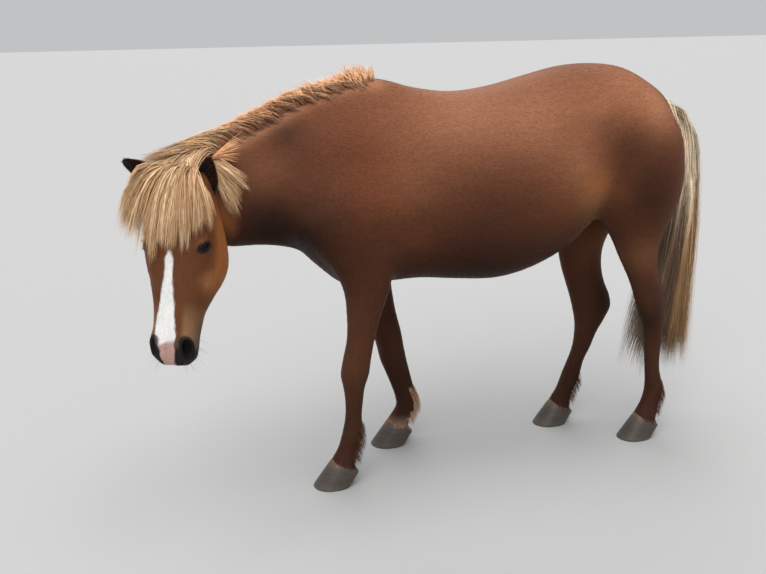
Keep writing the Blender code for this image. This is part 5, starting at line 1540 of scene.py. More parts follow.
def chart_of(points):
    """Which part of the unwrap a place belongs to: torso, neck, head, or one of the legs."""
    chart = np.zeros(len(points), dtype=int)
    chart[points[:, 0] < -0.56] = 1
    chart[face_share(points) > 0.5] = 2
    leg = (points[:, 2] < 0.68) & (points[:, 0] > -0.72)
    chart[leg] = 3 + 2 * (points[leg, 0] > 0.15) + (points[leg, 1] > 0)
    return chart


def unwrap(points, charts, near=None):
    """Places on an unwrap of the skin: round each part's own axis, and along it."""
    near = points if near is None else near
    uv = np.zeros((len(points), 2))
    for chart, (low, high) in enumerate(CHARTS):
        mine = charts == chart
        if not mine.any():
            continue
        angles = []
        for values in (points[mine], near[mine]):
            if chart < 2:
                along = (values[:, 0] + (0.72, 1.05)[chart]) / (1.70, 0.55)[chart]
                middle = np.interp(values[:, 0], (-1.0, -0.7, 0.5), (-0.17, -0.01, 0.0))
                angle = np.arctan2(values[:, 1] - middle, values[:, 2] - 1.03)
            elif chart == 2:
                places = along_head(values)
                along = (places[:, 0] + 0.06) / 0.66
                angle = np.arctan2(places[:, 2], places[:, 1] + 0.08)
            else:
                rows = np.array((LEFT_FORE, RIGHT_FORE, LEFT_HIND, RIGHT_HIND)[chart - 3])[::-1]
                along = values[:, 2] / 0.70
                centre_x = np.interp(values[:, 2], rows[:, 0], (rows[:, 1] + rows[:, 2]) / 2)
                centre_y = np.interp(values[:, 2], rows[:, 0], rows[:, 3])
                angle = np.arctan2(values[:, 1] - centre_y, values[:, 0] - centre_x)
            angles.append((angle, along))
        angle = angles[1][0] + (angles[0][0] - angles[1][0] + math.pi) % (2 * math.pi) - math.pi
        turn = 0.04 + 0.92 * (angle + math.pi) / (2 * math.pi)
        uv[mine, 0] = low + (high - low) * turn
        uv[mine, 1] = 0.01 + 0.98 * np.clip(angles[0][1], 0.0, 1.0)
    return uv


def write_map(mesh, uv):
    layer = mesh.uv_layers.new(name="OFBake")
    layer.data.foreach_set("uv", uv.astype(np.float32).ravel())


def map_skin(mesh):
    """Unwraps the skin itself, face by face, without a face that spans the seam."""
    corners = loop_corners(mesh)
    totals = np.empty(len(mesh.polygons), dtype=np.int32)
    mesh.polygons.foreach_get("loop_total", totals)
    centres = np.empty(len(mesh.polygons) * 3, dtype=np.float32)
    mesh.polygons.foreach_get("center", centres)
    centres = np.repeat(centres.reshape(-1, 3).astype(float), totals, axis=0)
    uv = unwrap(points_of(mesh)[corners], chart_of(centres), centres)
    write_map(mesh, uv)


def map_hair(mesh, roots, per):
    """Gives each hair a small patch of its own at its root's place on the skin's unwrap."""
    corners = loop_corners(mesh)
    within = corners % per
    last = within == per - 1
    side = np.where(last, 1, within % 3) / 2.0
    height = np.where(last, 1.0, (within // 3) / ((per - 1) / 3))
    places = unwrap(roots, chart_of(roots)) * 0.994 + 0.003
    uv = places[corners // per] + np.stack([side - 0.5, height - 0.5], axis=1) * PATCH_SIZE
    write_map(mesh, uv)


def ribbons(name, paths, normals, widths, thick_share, colours, roots, look, blunt=2.5,
            roundness=0.6):
    """Tapered three-sided closed hairs along paths, as one piece that shades as smooth strands."""
    count, length, _ = paths.shape
    steps = length - 1
    share = np.linspace(0.0, 1.0, length)
    ahead = np.gradient(paths, axis=1)
    ahead /= np.linalg.norm(ahead, axis=2, keepdims=True) + 1e-12
    across = np.cross(ahead, normals)
    across /= np.linalg.norm(across, axis=2, keepdims=True) + 1e-12
    outward = np.cross(across, ahead)
    taper = np.minimum(1.0, 0.6 + 2.0 * share) * (1 - share ** blunt)
    wide = widths[:, None] / 2 * taper[None, :]
    rings = np.stack([paths + across * wide[..., None],
                      paths + outward * (wide * thick_share)[..., None],
                      paths - across * wide[..., None]], axis=2)[:, :-1]
    per = steps * 3 + 1
    points = np.concatenate([rings.reshape(count, steps * 3, 3), paths[:, -1:]], axis=1)
    pattern = [(2, 1, 0)]
    for step in range(steps - 1):
        for corner in range(3):
            after = (corner + 1) % 3
            low = step * 3
            pattern.append((low + corner, low + after, low + 3 + after))
            pattern.append((low + corner, low + 3 + after, low + 3 + corner))
    for corner in range(3):
        pattern.append(((steps - 1) * 3 + corner, (steps - 1) * 3 + (corner + 1) % 3, steps * 3))
    pattern = np.array(pattern)[:, ::-1]
    triangles = (pattern[None] + (np.arange(count) * per)[:, None, None]).reshape(-1, 3)
    mesh = mesh_from(name, points.reshape(-1, 3), triangles)
    along = np.concatenate([np.repeat(share[:-1], 3), [1.0]])
    paint(mesh, np.clip(colours(along), 0.0, 1.0).reshape(-1, 3))
    map_hair(mesh, roots, per)
    tilt = across * roundness
    sides = np.stack([normals + tilt, normals, normals - tilt], axis=2)
    shading = np.concatenate([sides[:, :-1].reshape(count, steps * 3, 3), normals[:, -1:]], axis=1)
    shading = shading.reshape(-1, 3)
    shading /= np.linalg.norm(shading, axis=1, keepdims=True)
    made = piece(name, mesh, look)
    mesh.normals_split_custom_set_from_vertices(shading)
    return made


def long_hair(name, guides, tones, coat, chance, steps, width, shade, look, wave=0.0012,
              free=False, hangs_around=None):
    """Hairs along Bezier guides, rooted in the skin, that lie over it or hang around a line."""
    share = np.linspace(0.0, 1.0, steps + 1)
    degree = guides.shape[1] - 1
    weights = np.array([math.comb(degree, k) * share ** k * (1 - share) ** (degree - k)
                        for k in range(degree + 1)])
    paths = np.einsum("ks,nkc->nsc", weights, guides)
    swing = np.cumsum(chance.normal(size=paths.shape), axis=1) * wave
    paths += swing * share[None, :, None]
    lifts = chance.uniform(*HAIR_LIFT, len(paths))
    normals = np.zeros_like(paths)
    for i in range(len(paths)):
        spots = [Vector(spot) for spot in paths[i]]
        if not free:
            ear_sides = coat.ear_sides(spots)
            spots = [coat.aside(spot, ear_sides) for spot in spots]
            for _ in range(2):
                evened = [(a + b * 2 + c) / 4 for a, b, c in zip(spots, spots[1:], spots[2:])]
                spots = [spots[0]] + evened + [spots[-1]]
        for j, point in enumerate(spots):
            if j == 0:
                near, normal = coat.nearest(point)
                point = near - normal * HAIR_ROOT_DEPTH
            elif free:
                normal = coat.nearest(point)[1]
            else:
                point, normal = coat.raised(point, lifts[i] * min(1.0, 4.0 * j / steps))
            paths[i, j] = point
            normals[i, j] = (normal + HAIR_LIGHT).normalized()
    if hangs_around is not None:
        outward = paths - paths.mean(axis=0) - np.array((hangs_around, 0.0, 0.0))
        outward[..., 2] = 0.0
        outward /= np.linalg.norm(outward, axis=2, keepdims=True) + 1e-6
        normals = outward + np.array(HAIR_LIGHT)
        normals /= np.linalg.norm(normals, axis=2, keepdims=True)
    widths = width * chance.uniform(0.7, 1.3, len(paths))
    return ribbons(name, paths, normals, widths, 0.6, lambda along: shade(paths, tones, along),
                   paths[:, 0], look)


def as_array(paths):
    """Paths of vectors as one array."""
    return np.array([[list(point) for point in path] for path in paths])


def bundle(curves, per_curve, root_spread, end_spread, chance, lock_tone=0.5):
    """Hairs around each lock's curve, spread at the root and drawn together at the end."""
    curves = as_array(curves)
    guides = np.repeat(curves, per_curve, axis=0)
    share = np.linspace(0.0, 1.0, guides.shape[1])[None, :, None]
    at_root = chance.normal(size=(len(guides), 1, 3)) * root_spread
    at_end = chance.normal(size=(len(guides), 1, 3)) * end_spread
    guides = guides + at_root * (1 - share) + at_end * share
    length = 1 - chance.uniform(0.0, HAIR_SHORTER, (len(guides), 1, 1))
    guides = guides[:, :1] + (guides - guides[:, :1]) * (length * share + (1 - share))
    of_lock = np.repeat(chance.uniform(0.0, 1.0, len(curves)), per_curve)
    of_hair = chance.uniform(0.0, 1.0, len(guides))
    return guides, np.clip(of_lock * lock_tone + of_hair * (1 - lock_tone), 0.0, 1.0)


def mane_curves(coat, chance, count):
    """Hair along the crest that stands up, leans forward and falls over to the right side."""
    curves = []
    for place in range(count):
        layer = chance.uniform(0.0, 1.0)
        at = (place + chance.uniform(0, 1)) / count
        share = MANE_START - 0.03 + (MANE_END + 0.05 - MANE_START) * at
        over_poll = max(0.0, share - SWEEP_START) / (0.88 - SWEEP_START)
        short = min(1.0, 0.5 + max(0.0, share - MANE_START) * 1.8)
        angle = MANE_ROOT_ANGLES[0] + (MANE_ROOT_ANGLES[1] + 4.0 - MANE_ROOT_ANGLES[0]) * layer
        angle += abs(chance.normal()) * 7.0 * layer
        root, inward = coat.nearest(on_neck(share, angle, 0.0))
        stand = MANE_STAND * (0.62 + 0.34 * layer) * (1 + 0.4 * over_poll) * short
        stand *= chance.uniform(0.80, 1.06)
        forward = MANE_LEAN + 0.055 * min(1.0, share * 1.6)
        rise = root + Vector((-forward, 0.0, stand)) + inward * 0.008
        off_neck = 0.026 + 0.045 * over_poll + 0.014 * layer
        middle = on_neck(share + 0.13, MANE_FALL_ANGLE + 6.0, off_neck)
        fall = (MANE_FALL_REACH + 12.0 * layer + chance.uniform(-10.0, 10.0)) * short
        end = on_neck(share + 0.19 + chance.uniform(-0.03, 0.03), MANE_FALL_ANGLE - fall,
                      0.008 + 0.016 * layer)
        curves.append((root, rise, middle, end))
    return curves


def crest_curves(coat, chance, count):
    """Short loose hair that stands up along the crest, and a few strays behind the near ear."""
    curves = []
    for _ in range(count):
        share = chance.uniform(0.0, 0.62)
        root, _ = coat.nearest(on_neck(share, chance.uniform(84.0, 100.0), 0.0))
        tall = chance.uniform(0.028, 0.052)
        lean = chance.normal() * 0.006 - 0.012 - 0.03 * share
        curves.append((root, root + Vector((lean * 0.3, 0.0, tall * 0.5)),
                       root + Vector((lean * 0.8, 0.004, tall * 0.85)),
                       root + Vector((lean * 1.6, 0.006 + chance.normal() * 0.008, tall))))
    root, _ = coat.nearest(on_neck(0.90, 106.0, 0.0))
    for place in range(STRAY_LOCKS):
        end = on_neck(0.66 + 0.02 * place, 112.0 + 6.0 * place, 0.030 - 0.004 * place)
        outer = root.lerp(end, 0.6) + Vector((0.0, -0.01, 0.01))
        curves.append((root, on_neck(0.86, 112.0, 0.03), outer, end))
    return curves


def crown_curves(coat, chance, count):
    """Hair between the mane and the forelock, brushed forward over the poll."""
    curves = []
    for place in range(count):
        fan = -1.0 + 2.0 * (place + chance.uniform(0.0, 1.0)) / count
        place_on_neck = on_neck(chance.uniform(0.80, 0.98), chance.uniform(70.0, 106.0), 0.0)
        root, _ = coat.nearest(place_on_neck)
        layer = chance.uniform(0.0, 1.0)
        middle = on_head(-0.030, 0.030 + 0.020 * layer, 0.060 * fan - 0.025)
        end = on_head(chance.uniform(0.06, 0.14), 0.055 + 0.015 * layer, 0.090 * fan - 0.030)
        curves.append((root, root + Vector((-0.02, 0.0, 0.045)), middle, end))
    return curves


def poll_curves(coat, chance, count):
    """Locks swept forward over the poll and out past the head's right side."""
    rows = np.array([[root, *middle, *end] for root, middle, end in POLL_SWEEP])
    curves = []
    for place in range(count):
        share = rows[0, 0] + (rows[-1, 0] - rows[0, 0]) * (place + chance.uniform(0, 1)) / count
        row = between(rows[:, 0], rows, np.array([share]))[0]
        root, _ = coat.nearest(on_neck(share, chance.uniform(80.0, 104.0), 0.0))
        jitter = chance.normal(size=3) * 0.012
        curves.append((root, root + Vector((-MANE_LEAN, 0.0, SWEEP_RISE)), on_head(*row[1:4]),
                       on_head(*(row[4:7] + jitter))))
    return curves


def tuft_curves(coat, chance, count):
    """Locks from behind the near ear, fanned out over the near side of the neck."""
    rows = np.array(TUFT_FAN)
    curves = []
    for place in range(count):
        fan = (place + chance.uniform(0.0, 1.0)) / count
        row = between(rows[:, 0], rows, np.array([fan]))[0]
        _, middle_share, middle_angle, end_share, end_angle = row
        layer = chance.uniform(0.0, 1.0)
        root, inward = coat.nearest(on_neck(0.86 + 0.10 * fan, 106.0 + 10.0 * layer, 0.0))
        middle = on_neck(middle_share, middle_angle, 0.020 + 0.014 * layer)
        shorter = chance.uniform(0.0, 0.30)
        end_share += (middle_share - end_share) * shorter
        end_angle += (middle_angle - end_angle) * shorter
        end_share += chance.uniform(-0.01, 0.01)
        end_angle += chance.uniform(-3.0, 3.0)
        end = on_neck(end_share, end_angle, 0.006 + 0.012 * layer)
        curves.append((root, root + inward * 0.022, middle, end))
    return curves


def forelock_curves(coat, chance, count):
    """Locks from the poll, fanned over the forehead and out past its right side."""
    rows = np.array(FORELOCK_FAN)
    curves = []
    for place in range(count):
        fan = -1.05 + 2.1 * (place + chance.uniform(0.0, 1.0)) / count
        layer = chance.uniform(0.0, 2.3)
        row = between(rows[:, 0], rows, np.array([np.clip(fan, -1, 1)]))[0]
        _, end_down, end_out, end_left, mid_down, mid_out, mid_left = row
        root, inward = coat.nearest(on_head(0.045 - 0.030 * layer, 0.0, 0.050 * fan))
        wider = 1.0 + 0.12 * max(0.0, -fan)
        mid_left *= wider
        end_left *= wider
        middle = on_head(mid_down * 0.9 - 0.012 * layer, mid_out + 0.011 * layer, mid_left)
        short = 1.0 - 0.08 * layer + chance.uniform(-0.18, 0.08)
        end_left += chance.normal() * 0.008
        end = on_head(end_down * short, end_out + 0.010 * layer, end_left)
        curves.append((root, root + inward * (0.026 + 0.018 * layer), middle, end))
    return curves


def tail_curves(chance, count, outer):
    """Long locks from the dock; the outer ones swell out behind it, over the others."""
    centres = np.array([centre for centre, _ in DOCK])
    spots = np.linspace(0, 1, len(centres))
    curves = []
    for place in range(count):
        side = chance.uniform(-1.0, 1.0)
        share = (place + chance.uniform(0.0, 1.0)) / count
        down_dock = chance.uniform(0.05, 0.50) if outer else chance.uniform(0.15, 0.98)
        if outer:
            share = 0.70 + 0.30 * share
        root = Vector([np.interp(down_dock, spots, centres[:, k]) for k in range(3)])
        root += Vector((0.02 * (share - 0.3), 0.03 * side, 0.02 * outer))
        end_x = TAIL_ENDS_FRONT + (TAIL_ENDS_BACK - TAIL_ENDS_FRONT) * share
        end = Vector((end_x, 0.008 + 0.048 * side, chance.uniform(0.165, 0.27)))
        if outer:
            swell = Vector((TAIL_TOP_SWELL * (share - 0.30) / 0.70, 0.045 * side, -0.02))
            above = Vector((end.x * 0.5 + TAIL_HANG_X - 0.012, 0.058 * side, 0.66))
        else:
            out_of_dock = TAIL_SWELL_FRONT + (TAIL_SWELL_BACK - TAIL_SWELL_FRONT) * share
            swell = Vector((out_of_dock, 0.045 * side, -0.10))
            above = Vector((end.x * 0.5 + TAIL_HANG_X, 0.058 * side, TAIL_HANG_HEIGHT))
        curves.append((root, root + swell, above, end))
    return curves


def hair_shade(pale, mid, deep, root_colour=None):
    """Streaked hair that starts in the colour of its roots; a tone of 0 is deep and 1 is pale."""
    def shade(paths, tones, along):
        low = np.clip(tones * 2, 0, 1)[:, None]
        high = np.clip(tones * 2 - 1, 0, 1)[:, None]
        base = deep * (1 - low) + mid * low
        base = base * (1 - high) + pale * high
        light = ROOT_TONE + (TIP_TONE - ROOT_TONE) * np.clip(along * 2.2, 0, 1) ** 0.7
        colours = base[:, None, :] * light[None, :, None]
        if root_colour is not None:
            near_root = (1 - ramp(along, 0.06, 0.34))[None, :, None]
            colours = colours * (1 - near_root) + root_colour * near_root
        return colours
    return shade


def tail_shade(outermost):
    """Cream over the dock, brown down the outer edge, dark inside and grey at the front."""
    def shade(paths, tones, along):
        ring = np.rint(along * (paths.shape[1] - 1)).astype(int)
        x = paths[:, ring, 0]
        z = paths[:, ring, 2]
        tone = tones[:, None]
        band = np.clip((z * 12).astype(int), 0, 15)
        edges = np.array([np.percentile(x[band == at], (4, 94)) if np.any(band == at)
                          else (0.0, 1.0) for at in range(16)])
        back = (x - edges[band, 0]) / (edges[band, 1] - edges[band, 0] + 0.01)
        if outermost:
            back = 0.65 + 0.35 * back
        back += 0.30 * (tone - 0.5)

        def streaked(dark, pale):
            return dark * (1 - tone[..., None]) + pale * tone[..., None]
        colours = streaked(linear(58, 42, 33), linear(122, 88, 62)) * np.ones((*x.shape, 1))
        outer = ramp(back, 0.55, 0.85)
        front = 0.8 * (1 - ramp(back, 0.06, 0.22)) * ramp(0.75 - z, 0.0, 0.2)
        top = ramp(z + 0.24 * (tone - 0.5) - np.clip(x - 0.86, 0, 1), 0.70, 1.15)
        for share, dark, pale in ((outer, linear(138, 98, 62), linear(216, 172, 122)),
                                  (front, linear(92, 74, 58), linear(190, 166, 136)),
                                  (top, linear(206, 168, 124), linear(255, 240, 212))):
            share = share[..., None]
            colours = colours * (1 - share) + share * streaked(dark, pale)
        root = (1 - ramp(along, 0.0, 0.09))[None, :, None] * ramp(z, 1.10, 1.20)[..., None]
        return colours * (1 - root) + root * linear(168, 116, 82)
    return shade


def flow(points):
    """The way the coat lies: back along the body, down the legs and down the face."""
    down_face, out_of_face, _ = head_rows()
    x, _, z = points.T
    way = np.tile((1.0, 0.0, -0.30), (len(points), 1))
    neck = ramp(-x, 0.35, 0.60)[:, None]
    way = way * (1 - neck) + neck * np.array((0.75, 0.10, -0.65))
    chest = (ramp(-x, 0.45, 0.62) * ramp(1.02 - z, 0.0, 0.12))[:, None]
    way = way * (1 - chest) + chest * np.array((0.35, 0.0, -0.9))
    rump = ramp(x, 0.62, 0.76)[:, None]
    way = way * (1 - rump) + rump * np.array((0.25, 0.0, -1.0))
    leg = ramp(0.80 - z, 0.0, 0.12)[:, None]
    limb = ((np.abs(x + 0.40) < 0.24) | (x > 0.33))[:, None]
    way = np.where(limb, way * (1 - leg) + leg * np.array((0.18, 0.0, -1.0)), way)
    on_face = face_share(points)[:, None]
    places = along_head(points)
    back = np.clip((-places[:, 1] - 0.02) * 6, 0, 0.8)[:, None]
    face = down_face[None] - out_of_face[None] * back
    muzzle = ramp(places[:, 0], 0.46, 0.52)[:, None]
    face = face - muzzle * down_face[None] * 0.4
    return way * (1 - on_face) + on_face * face


class Growth:
    """Roots for short fur, picked evenly over the skin's surface."""

    def __init__(self, mesh):
        self.points = points_of(mesh)
        self.normals = normals_of(mesh)
        self.corners = corners_of(mesh)
        a, b, c = (self.points[self.corners[:, k]] for k in range(3))
        self.areas = np.linalg.norm(np.cross(b - a, c - a), axis=1) / 2
        self.centres = (a + b + c) / 3

    def pick(self, weight, count, chance):
        share = np.cumsum(self.areas * weight)
        steps = (np.arange(count) + chance.uniform(0, 1, count)) / count * share[-1]
        faces = self.corners[np.minimum(np.searchsorted(share, steps), len(share) - 1)]
        mix = np.sqrt(chance.uniform(0, 1, count))
        other = chance.uniform(0, 1, count)
        shares = np.stack([1 - mix, mix * (1 - other), mix * other], axis=1)
        points = np.einsum("nk,nkc->nc", shares, self.points[faces])
        normals = np.einsum("nk,nkc->nc", shares, self.normals[faces])
        return points, normals / np.linalg.norm(normals, axis=1, keepdims=True)


def fur(name, growth, weight, count, length, width, stand, chance, look):
    """Short overlapping tufts that lie along the skin; length gives their length at each place."""
    points, normals = growth.pick(weight, count, chance)
    way = flow(points)
    way -= normals * np.sum(way * normals, axis=1, keepdims=True)
    way /= np.linalg.norm(way, axis=1, keepdims=True) + 1e-9
    aside = np.cross(normals, way)
    clump = ripple(points, 40.0, 21) * 0.10
    way = way + aside * (chance.normal(size=count) * 0.08 + clump)[:, None]
    way /= np.linalg.norm(way, axis=1, keepdims=True)
    lengths = (length(points) * chance.uniform(0.7, 1.3, count))[:, None]
    rise = (stand * chance.uniform(0.5, 1.3, count))[:, None]
    paths = np.stack([points - normals * 0.0015,
                      points + way * lengths * 0.45 + normals * rise,
                      points + way * lengths + normals * rise], axis=1)
    widths = width * chance.uniform(0.7, 1.3, count)
    base = coat_colour(points, normals) * chance.uniform(0.92, 1.10, count)[:, None]

    def shade(along):
        return base[:, None, :] * (0.96 + 0.08 * along)[None, :, None]
    return ribbons(name, paths, np.repeat(normals[:, None], 3, axis=1), widths, 0.35, shade,
                   points, look, blunt=1.6, roundness=0.15)


def furry(growth):
    """1 where fur may grow: not in the hooves, nostrils, mouth or eyes."""
    centres = growth.centres
    places = along_head(centres)
    weight = np.ones(len(centres))
    for name in HOOVES:
        front, back, middle, _ = HOOVES[name]
        across = (centres[:, 0] - front) / (back - front)
        coronet = CORONET_FRONT_HEIGHT + (CORONET_BACK_HEIGHT - CORONET_FRONT_HEIGHT) * across
        near = np.abs(centres[:, 0] - (front + back) / 2) < 0.10
        near &= np.abs(centres[:, 1] - middle) < 0.08
        weight[near & (centres[:, 2] < coronet + 0.004)] = 0.0
    for side in (1, -1):
        reach, along, _ = nostril_reach(places, side)
        weight[(reach < 1.25) & (np.abs(along) < 0.05)] = 0.0
        weight[np.linalg.norm(centres - np.array(eye_centre(side)), axis=1) < 0.027] = 0.0
    mouth = line_distance(np.abs(places) * (1, -1, 1), MOUTH_LINE)
    weight[mouth < 0.005] = 0.0
    return weight


def body_length(points):
    """Length of the fur: longer under the belly, at the chest and behind the legs."""
    z = points[:, 2]
    under = ramp(0.86 - z, 0.0, 0.12) * (1 - ramp(0.72 - z, 0.0, 0.08))
    chest = ramp(-points[:, 0], 0.50, 0.64) * ramp(1.10 - z, 0.0, 0.15)
    return 0.013 + 0.006 * under + 0.004 * chest


def leg_length(points):
    """Short on the cannons, longer behind the knees, at the elbows and above the hooves."""
    z = points[:, 2]
    return 0.011 + 0.006 * ramp(z, 0.50, 0.70) + 0.009 * (1 - ramp(z, 0.10, 0.22))


def face_length(points):
    """Short on the face, longer under the jaw and shortest on the muzzle."""
    places = along_head(points)
    jaw = ramp(-places[:, 1], 0.12, 0.19)
    jaw *= 1 - ramp(places[:, 0], 0.36, 0.46)
    return 0.0075 + 0.010 * jaw - 0.003 * ramp(places[:, 0], 0.42, 0.50)


def fetlock_guides(growth, chance, count):
    """Longer hair behind the fetlocks and over the hooves' coronets."""
    guides = []
    height = growth.centres[:, 2]
    points, normals = growth.pick(1.0 * (height < 0.235) * (height > 0.045), count * 6, chance)
    for point, normal in zip(points, normals):
        name = min(HOOVES, key=lambda hoof: abs((HOOVES[hoof][0] + HOOVES[hoof][1]) / 2 - point[0])
                   + abs(HOOVES[hoof][2] - point[1]))
        front, back, _, _ = HOOVES[name]
        across = (point[0] - front) / (back - front)
        coronet = CORONET_FRONT_HEIGHT + (CORONET_BACK_HEIGHT - CORONET_FRONT_HEIGHT) * across
        if point[2] < coronet + 0.002:
            continue
        behind = normal[0] > 0.25 and 0.10 < point[2] < 0.23
        fringe = point[2] < coronet + 0.022
        if not behind and not fringe:
            continue
        length = (0.038 if behind else 0.020) * chance.uniform(0.6, 1.25)
        root = Vector(point)
        out = Vector(normal)
        down = Vector((0.25 if behind else 0.0, 0.0, -1.0))
        guides.append((root, root + out * 0.004 + down * length * 0.4,
                       root + out * 0.006 + down * length))
        if len(guides) == count:
            break
    return as_array(guides)


def ear_fringe(chance, count):
    """Soft hair along the rims and in the mouth of each ear."""
    guides = []
    for name in EARS:
        rim = ear_rim(name)
        axis = ear_frame(name)[1]
        for _ in range(count):
            side = chance.integers(0, 2)
            spot = chance.uniform(0.12, 0.96)
            at = spot * (len(rim) - 1)
            low = min(int(at), len(rim) - 2)
            start = Vector(rim[low][side]).lerp(Vector(rim[low + 1][side]), at - low)
            other = Vector(rim[low][1 - side]).lerp(Vector(rim[low + 1][1 - side]), at - low)
            inward = (other - start) * chance.uniform(0.02, 0.22)
            long = chance.uniform(0.006, 0.014)
            guides.append((start, start + inward * 0.4 + axis * long * 0.5,
                           start + inward + axis * long))
    return as_array(guides)


def ear_rim(name):
    """The two edges of the ear's cup, from base to tip."""
    mesh = ear_mesh(name)
    points = points_of(mesh)
    bpy.data.meshes.remove(mesh)
    ring = 2 * EAR_ARC_POINTS
    rows = points.reshape(-1, ring, 3)
    return [(row[0], row[EAR_ARC_POINTS - 1]) for row in rows]


def lash_guides(side, chance, count):
    """Lashes that stand out from the upper lid and droop a little."""
    outward, long_way, high_way = eye_frame(side)
    rim = around_eye(side, EYE_RADIUS + 0.002, 1.03, 96)
    guides = []
    for _ in range(count):
        start = rim[int(chance.uniform(4, 44))]
        lean = (start - eye_centre(side)).dot(long_way) / 0.018
        out = outward * 0.9 + long_way * lean * 0.45 - high_way * 0.15
        length = chance.uniform(0.009, 0.015)
        guides.append((start, start + out * length * 0.6,
                       start + out * length - high_way * length * 0.45))
    return as_array(guides)


def whisker_guides(coat, chance, count):
    """Fine single hairs on the muzzle and the chin, and none in the nostrils."""
    guides = []
    for _ in range(count):
        side = 1 if chance.uniform() < 0.5 else -1
        down, out = chance.uniform((0.47, -0.11), (0.56, -0.02))
        start, normal = coat.nearest(on_head(down, out, side * chance.uniform(0.02, 0.07)))
        length = chance.uniform(0.015, 0.040)
        if nostril_reach(along_head(np.array([list(start)])), side)[0][0] < NOSTRIL_CLEAR:
            continue
        sag = Vector((0.0, 0.0, -1.0)) * length * 0.5
        guides.append((start, start + normal * length * 0.6, start + normal * length + sag))
    return as_array(guides)


def build_skin():
    """The one skin over all the flesh; also gives the helpers that find places on it."""
    skin = skin_mesh()
    points = points_of(skin)
    coat = Coat(skin)
    growth = Growth(skin)
    paint(skin, coat_colour(points, normals_of(skin)) * SKIN_TONE)
    leg = skin.attributes.new("leg", "FLOAT", "POINT")
    leg.data.foreach_set("value", leg_share(points).astype(np.float32))
    map_skin(skin)
    made = piece("skin", skin, skin_look())
    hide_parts("head", "neck", "torso", "leg_front_left", "leg_front_right",
                "leg_hind_left", "leg_hind_right")
    return coat, growth


def build_hooves_and_ears():
    """The hooves' horn and the ears' cups."""
    horn = horn_look()
    for name in HOOVES:
        made = piece(name + "_horn", hoof_piece(name), horn)
        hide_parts(name)
    ear_paint = hair_look("ear_skin", 0.60, 0.20, 0.04)
    for name in EARS:
        made = piece(name + "_cup", ear_piece(name), ear_paint)
        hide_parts(name)


def build_eyes(coat, chance, long_paint):
    """Eyeballs, their lids and their lashes."""
    wet = eye_look()
    lid_paint = lid_look()
    for side, name in ((1, "eye_left"), (-1, "eye_right")):
        made = piece(name + "_ball", eye_mesh(side), wet)
        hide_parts(name)
        piece(name + "_lids", lids_mesh(side), lid_paint)
        guides = lash_guides(side, chance, LASHES)
        made = long_hair(name + "_lashes", guides, np.zeros(len(guides)), coat, chance,
                         FINE_STEPS, 0.0007, hair_shade(SOOT, SOOT, SOOT), long_paint,
                         wave=0.0, free=True)


def build_locks(coat, chance, density, look):
    """The forelock, the mane and the locks around the poll."""
    flaxen = hair_shade(linear(250, 222, 178), linear(196, 150, 104), linear(98, 62, 40),
                        linear(150, 94, 60))
    ginger = hair_shade(linear(255, 214, 166), linear(232, 166, 112), linear(160, 98, 62),
                        linear(116, 68, 45))

    def add(name, curves, hairs, spread, gathered, width, shade, lock_tone=0.5):
        guides, tones = bundle(curves, int(hairs * density), spread, gathered, chance,
                               lock_tone=lock_tone)
        made = long_hair(name, guides, tones, coat, chance, LOCK_STEPS, width, shade, look)

    curves = forelock_curves(coat, chance, FORELOCK_LOCKS)
    add("forelock", curves, FORELOCK_HAIRS, 0.008, 0.003, 0.0026, flaxen)
    mane = mane_curves(coat, chance, MANE_LOCKS)
    crest = crest_curves(coat, chance, CREST_LOCKS)
    add("mane", mane, MANE_HAIRS, 0.006, 0.007, 0.0027, ginger, lock_tone=0.4)
    add("mane_crest", crest, MANE_HAIRS, 0.006, 0.007, 0.0027, ginger, lock_tone=0.4)
    curves = (poll_curves(coat, chance, POLL_LOCKS) + tuft_curves(coat, chance, TUFT_LOCKS)
              + crown_curves(coat, chance, CROWN_LOCKS))
    add("mane_front", curves, FRONT_HAIRS, 0.007, 0.003, 0.0026, flaxen)


def build_tail(coat, chance, density):
    """The tail's hair, in an inner and an outer piece."""
    look = hair_look("tail_hair", 0.46, 0.25, 0.05)
    for name, count, outer in (("tail_inner", INNER_TAIL_LOCKS, False),
                               ("tail_outer", OUTER_TAIL_LOCKS, True)):
        curves = tail_curves(chance, count, outer)
        guides, tones = bundle(curves, int(TAIL_HAIRS * density), 0.008, 0.007, chance)
        made = long_hair(name, guides, tones, coat, chance, TAIL_STEPS, 0.0032, tail_shade(outer),
                         look, wave=0.0022, hangs_around=-0.06 * outer)
        if not outer:
            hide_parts("tail")


def build_fur(growth, chance, density, look):
    """Short fur, in five pieces that follow the regions of the body."""
    free = furry(growth)
    centres = growth.centres
    on_face = face_share(centres) > 0.5
    near_leg = (np.abs(centres[:, 0] + 0.40) < 0.24) | (centres[:, 0] > 0.33)
    on_leg = (centres[:, 2] < 0.76) & near_leg
    on_neck_side = (centres[:, 0] < -0.45) & ~on_leg & ~on_face
    on_trunk = ~on_face & ~on_leg & ~on_neck_side
    left = centres[:, 1] < 0
    # name, where, tufts, length, width, how high they stand, slot
    regions = (
        ("fur_trunk_left", on_trunk & left, 17500, body_length, 0.0018, 0.0007, "coat"),
        ("fur_trunk_right", on_trunk & ~left, 13000, body_length, 0.0019, 0.0007, "coat"),
        ("fur_neck", on_neck_side, 12000, body_length, 0.0018, 0.0007, "coat"),
        ("fur_legs", on_leg, 13500, leg_length, 0.0016, 0.0007, "dark_coat"),
        ("fur_head", on_face, 15000, face_length, 0.0013, 0.0006, "coat"),
    )
    for name, mask, count, length, width, stand, slot in regions:
        made = fur(name, growth, free * mask, int(count * density), length, width, stand,
                   chance, look)


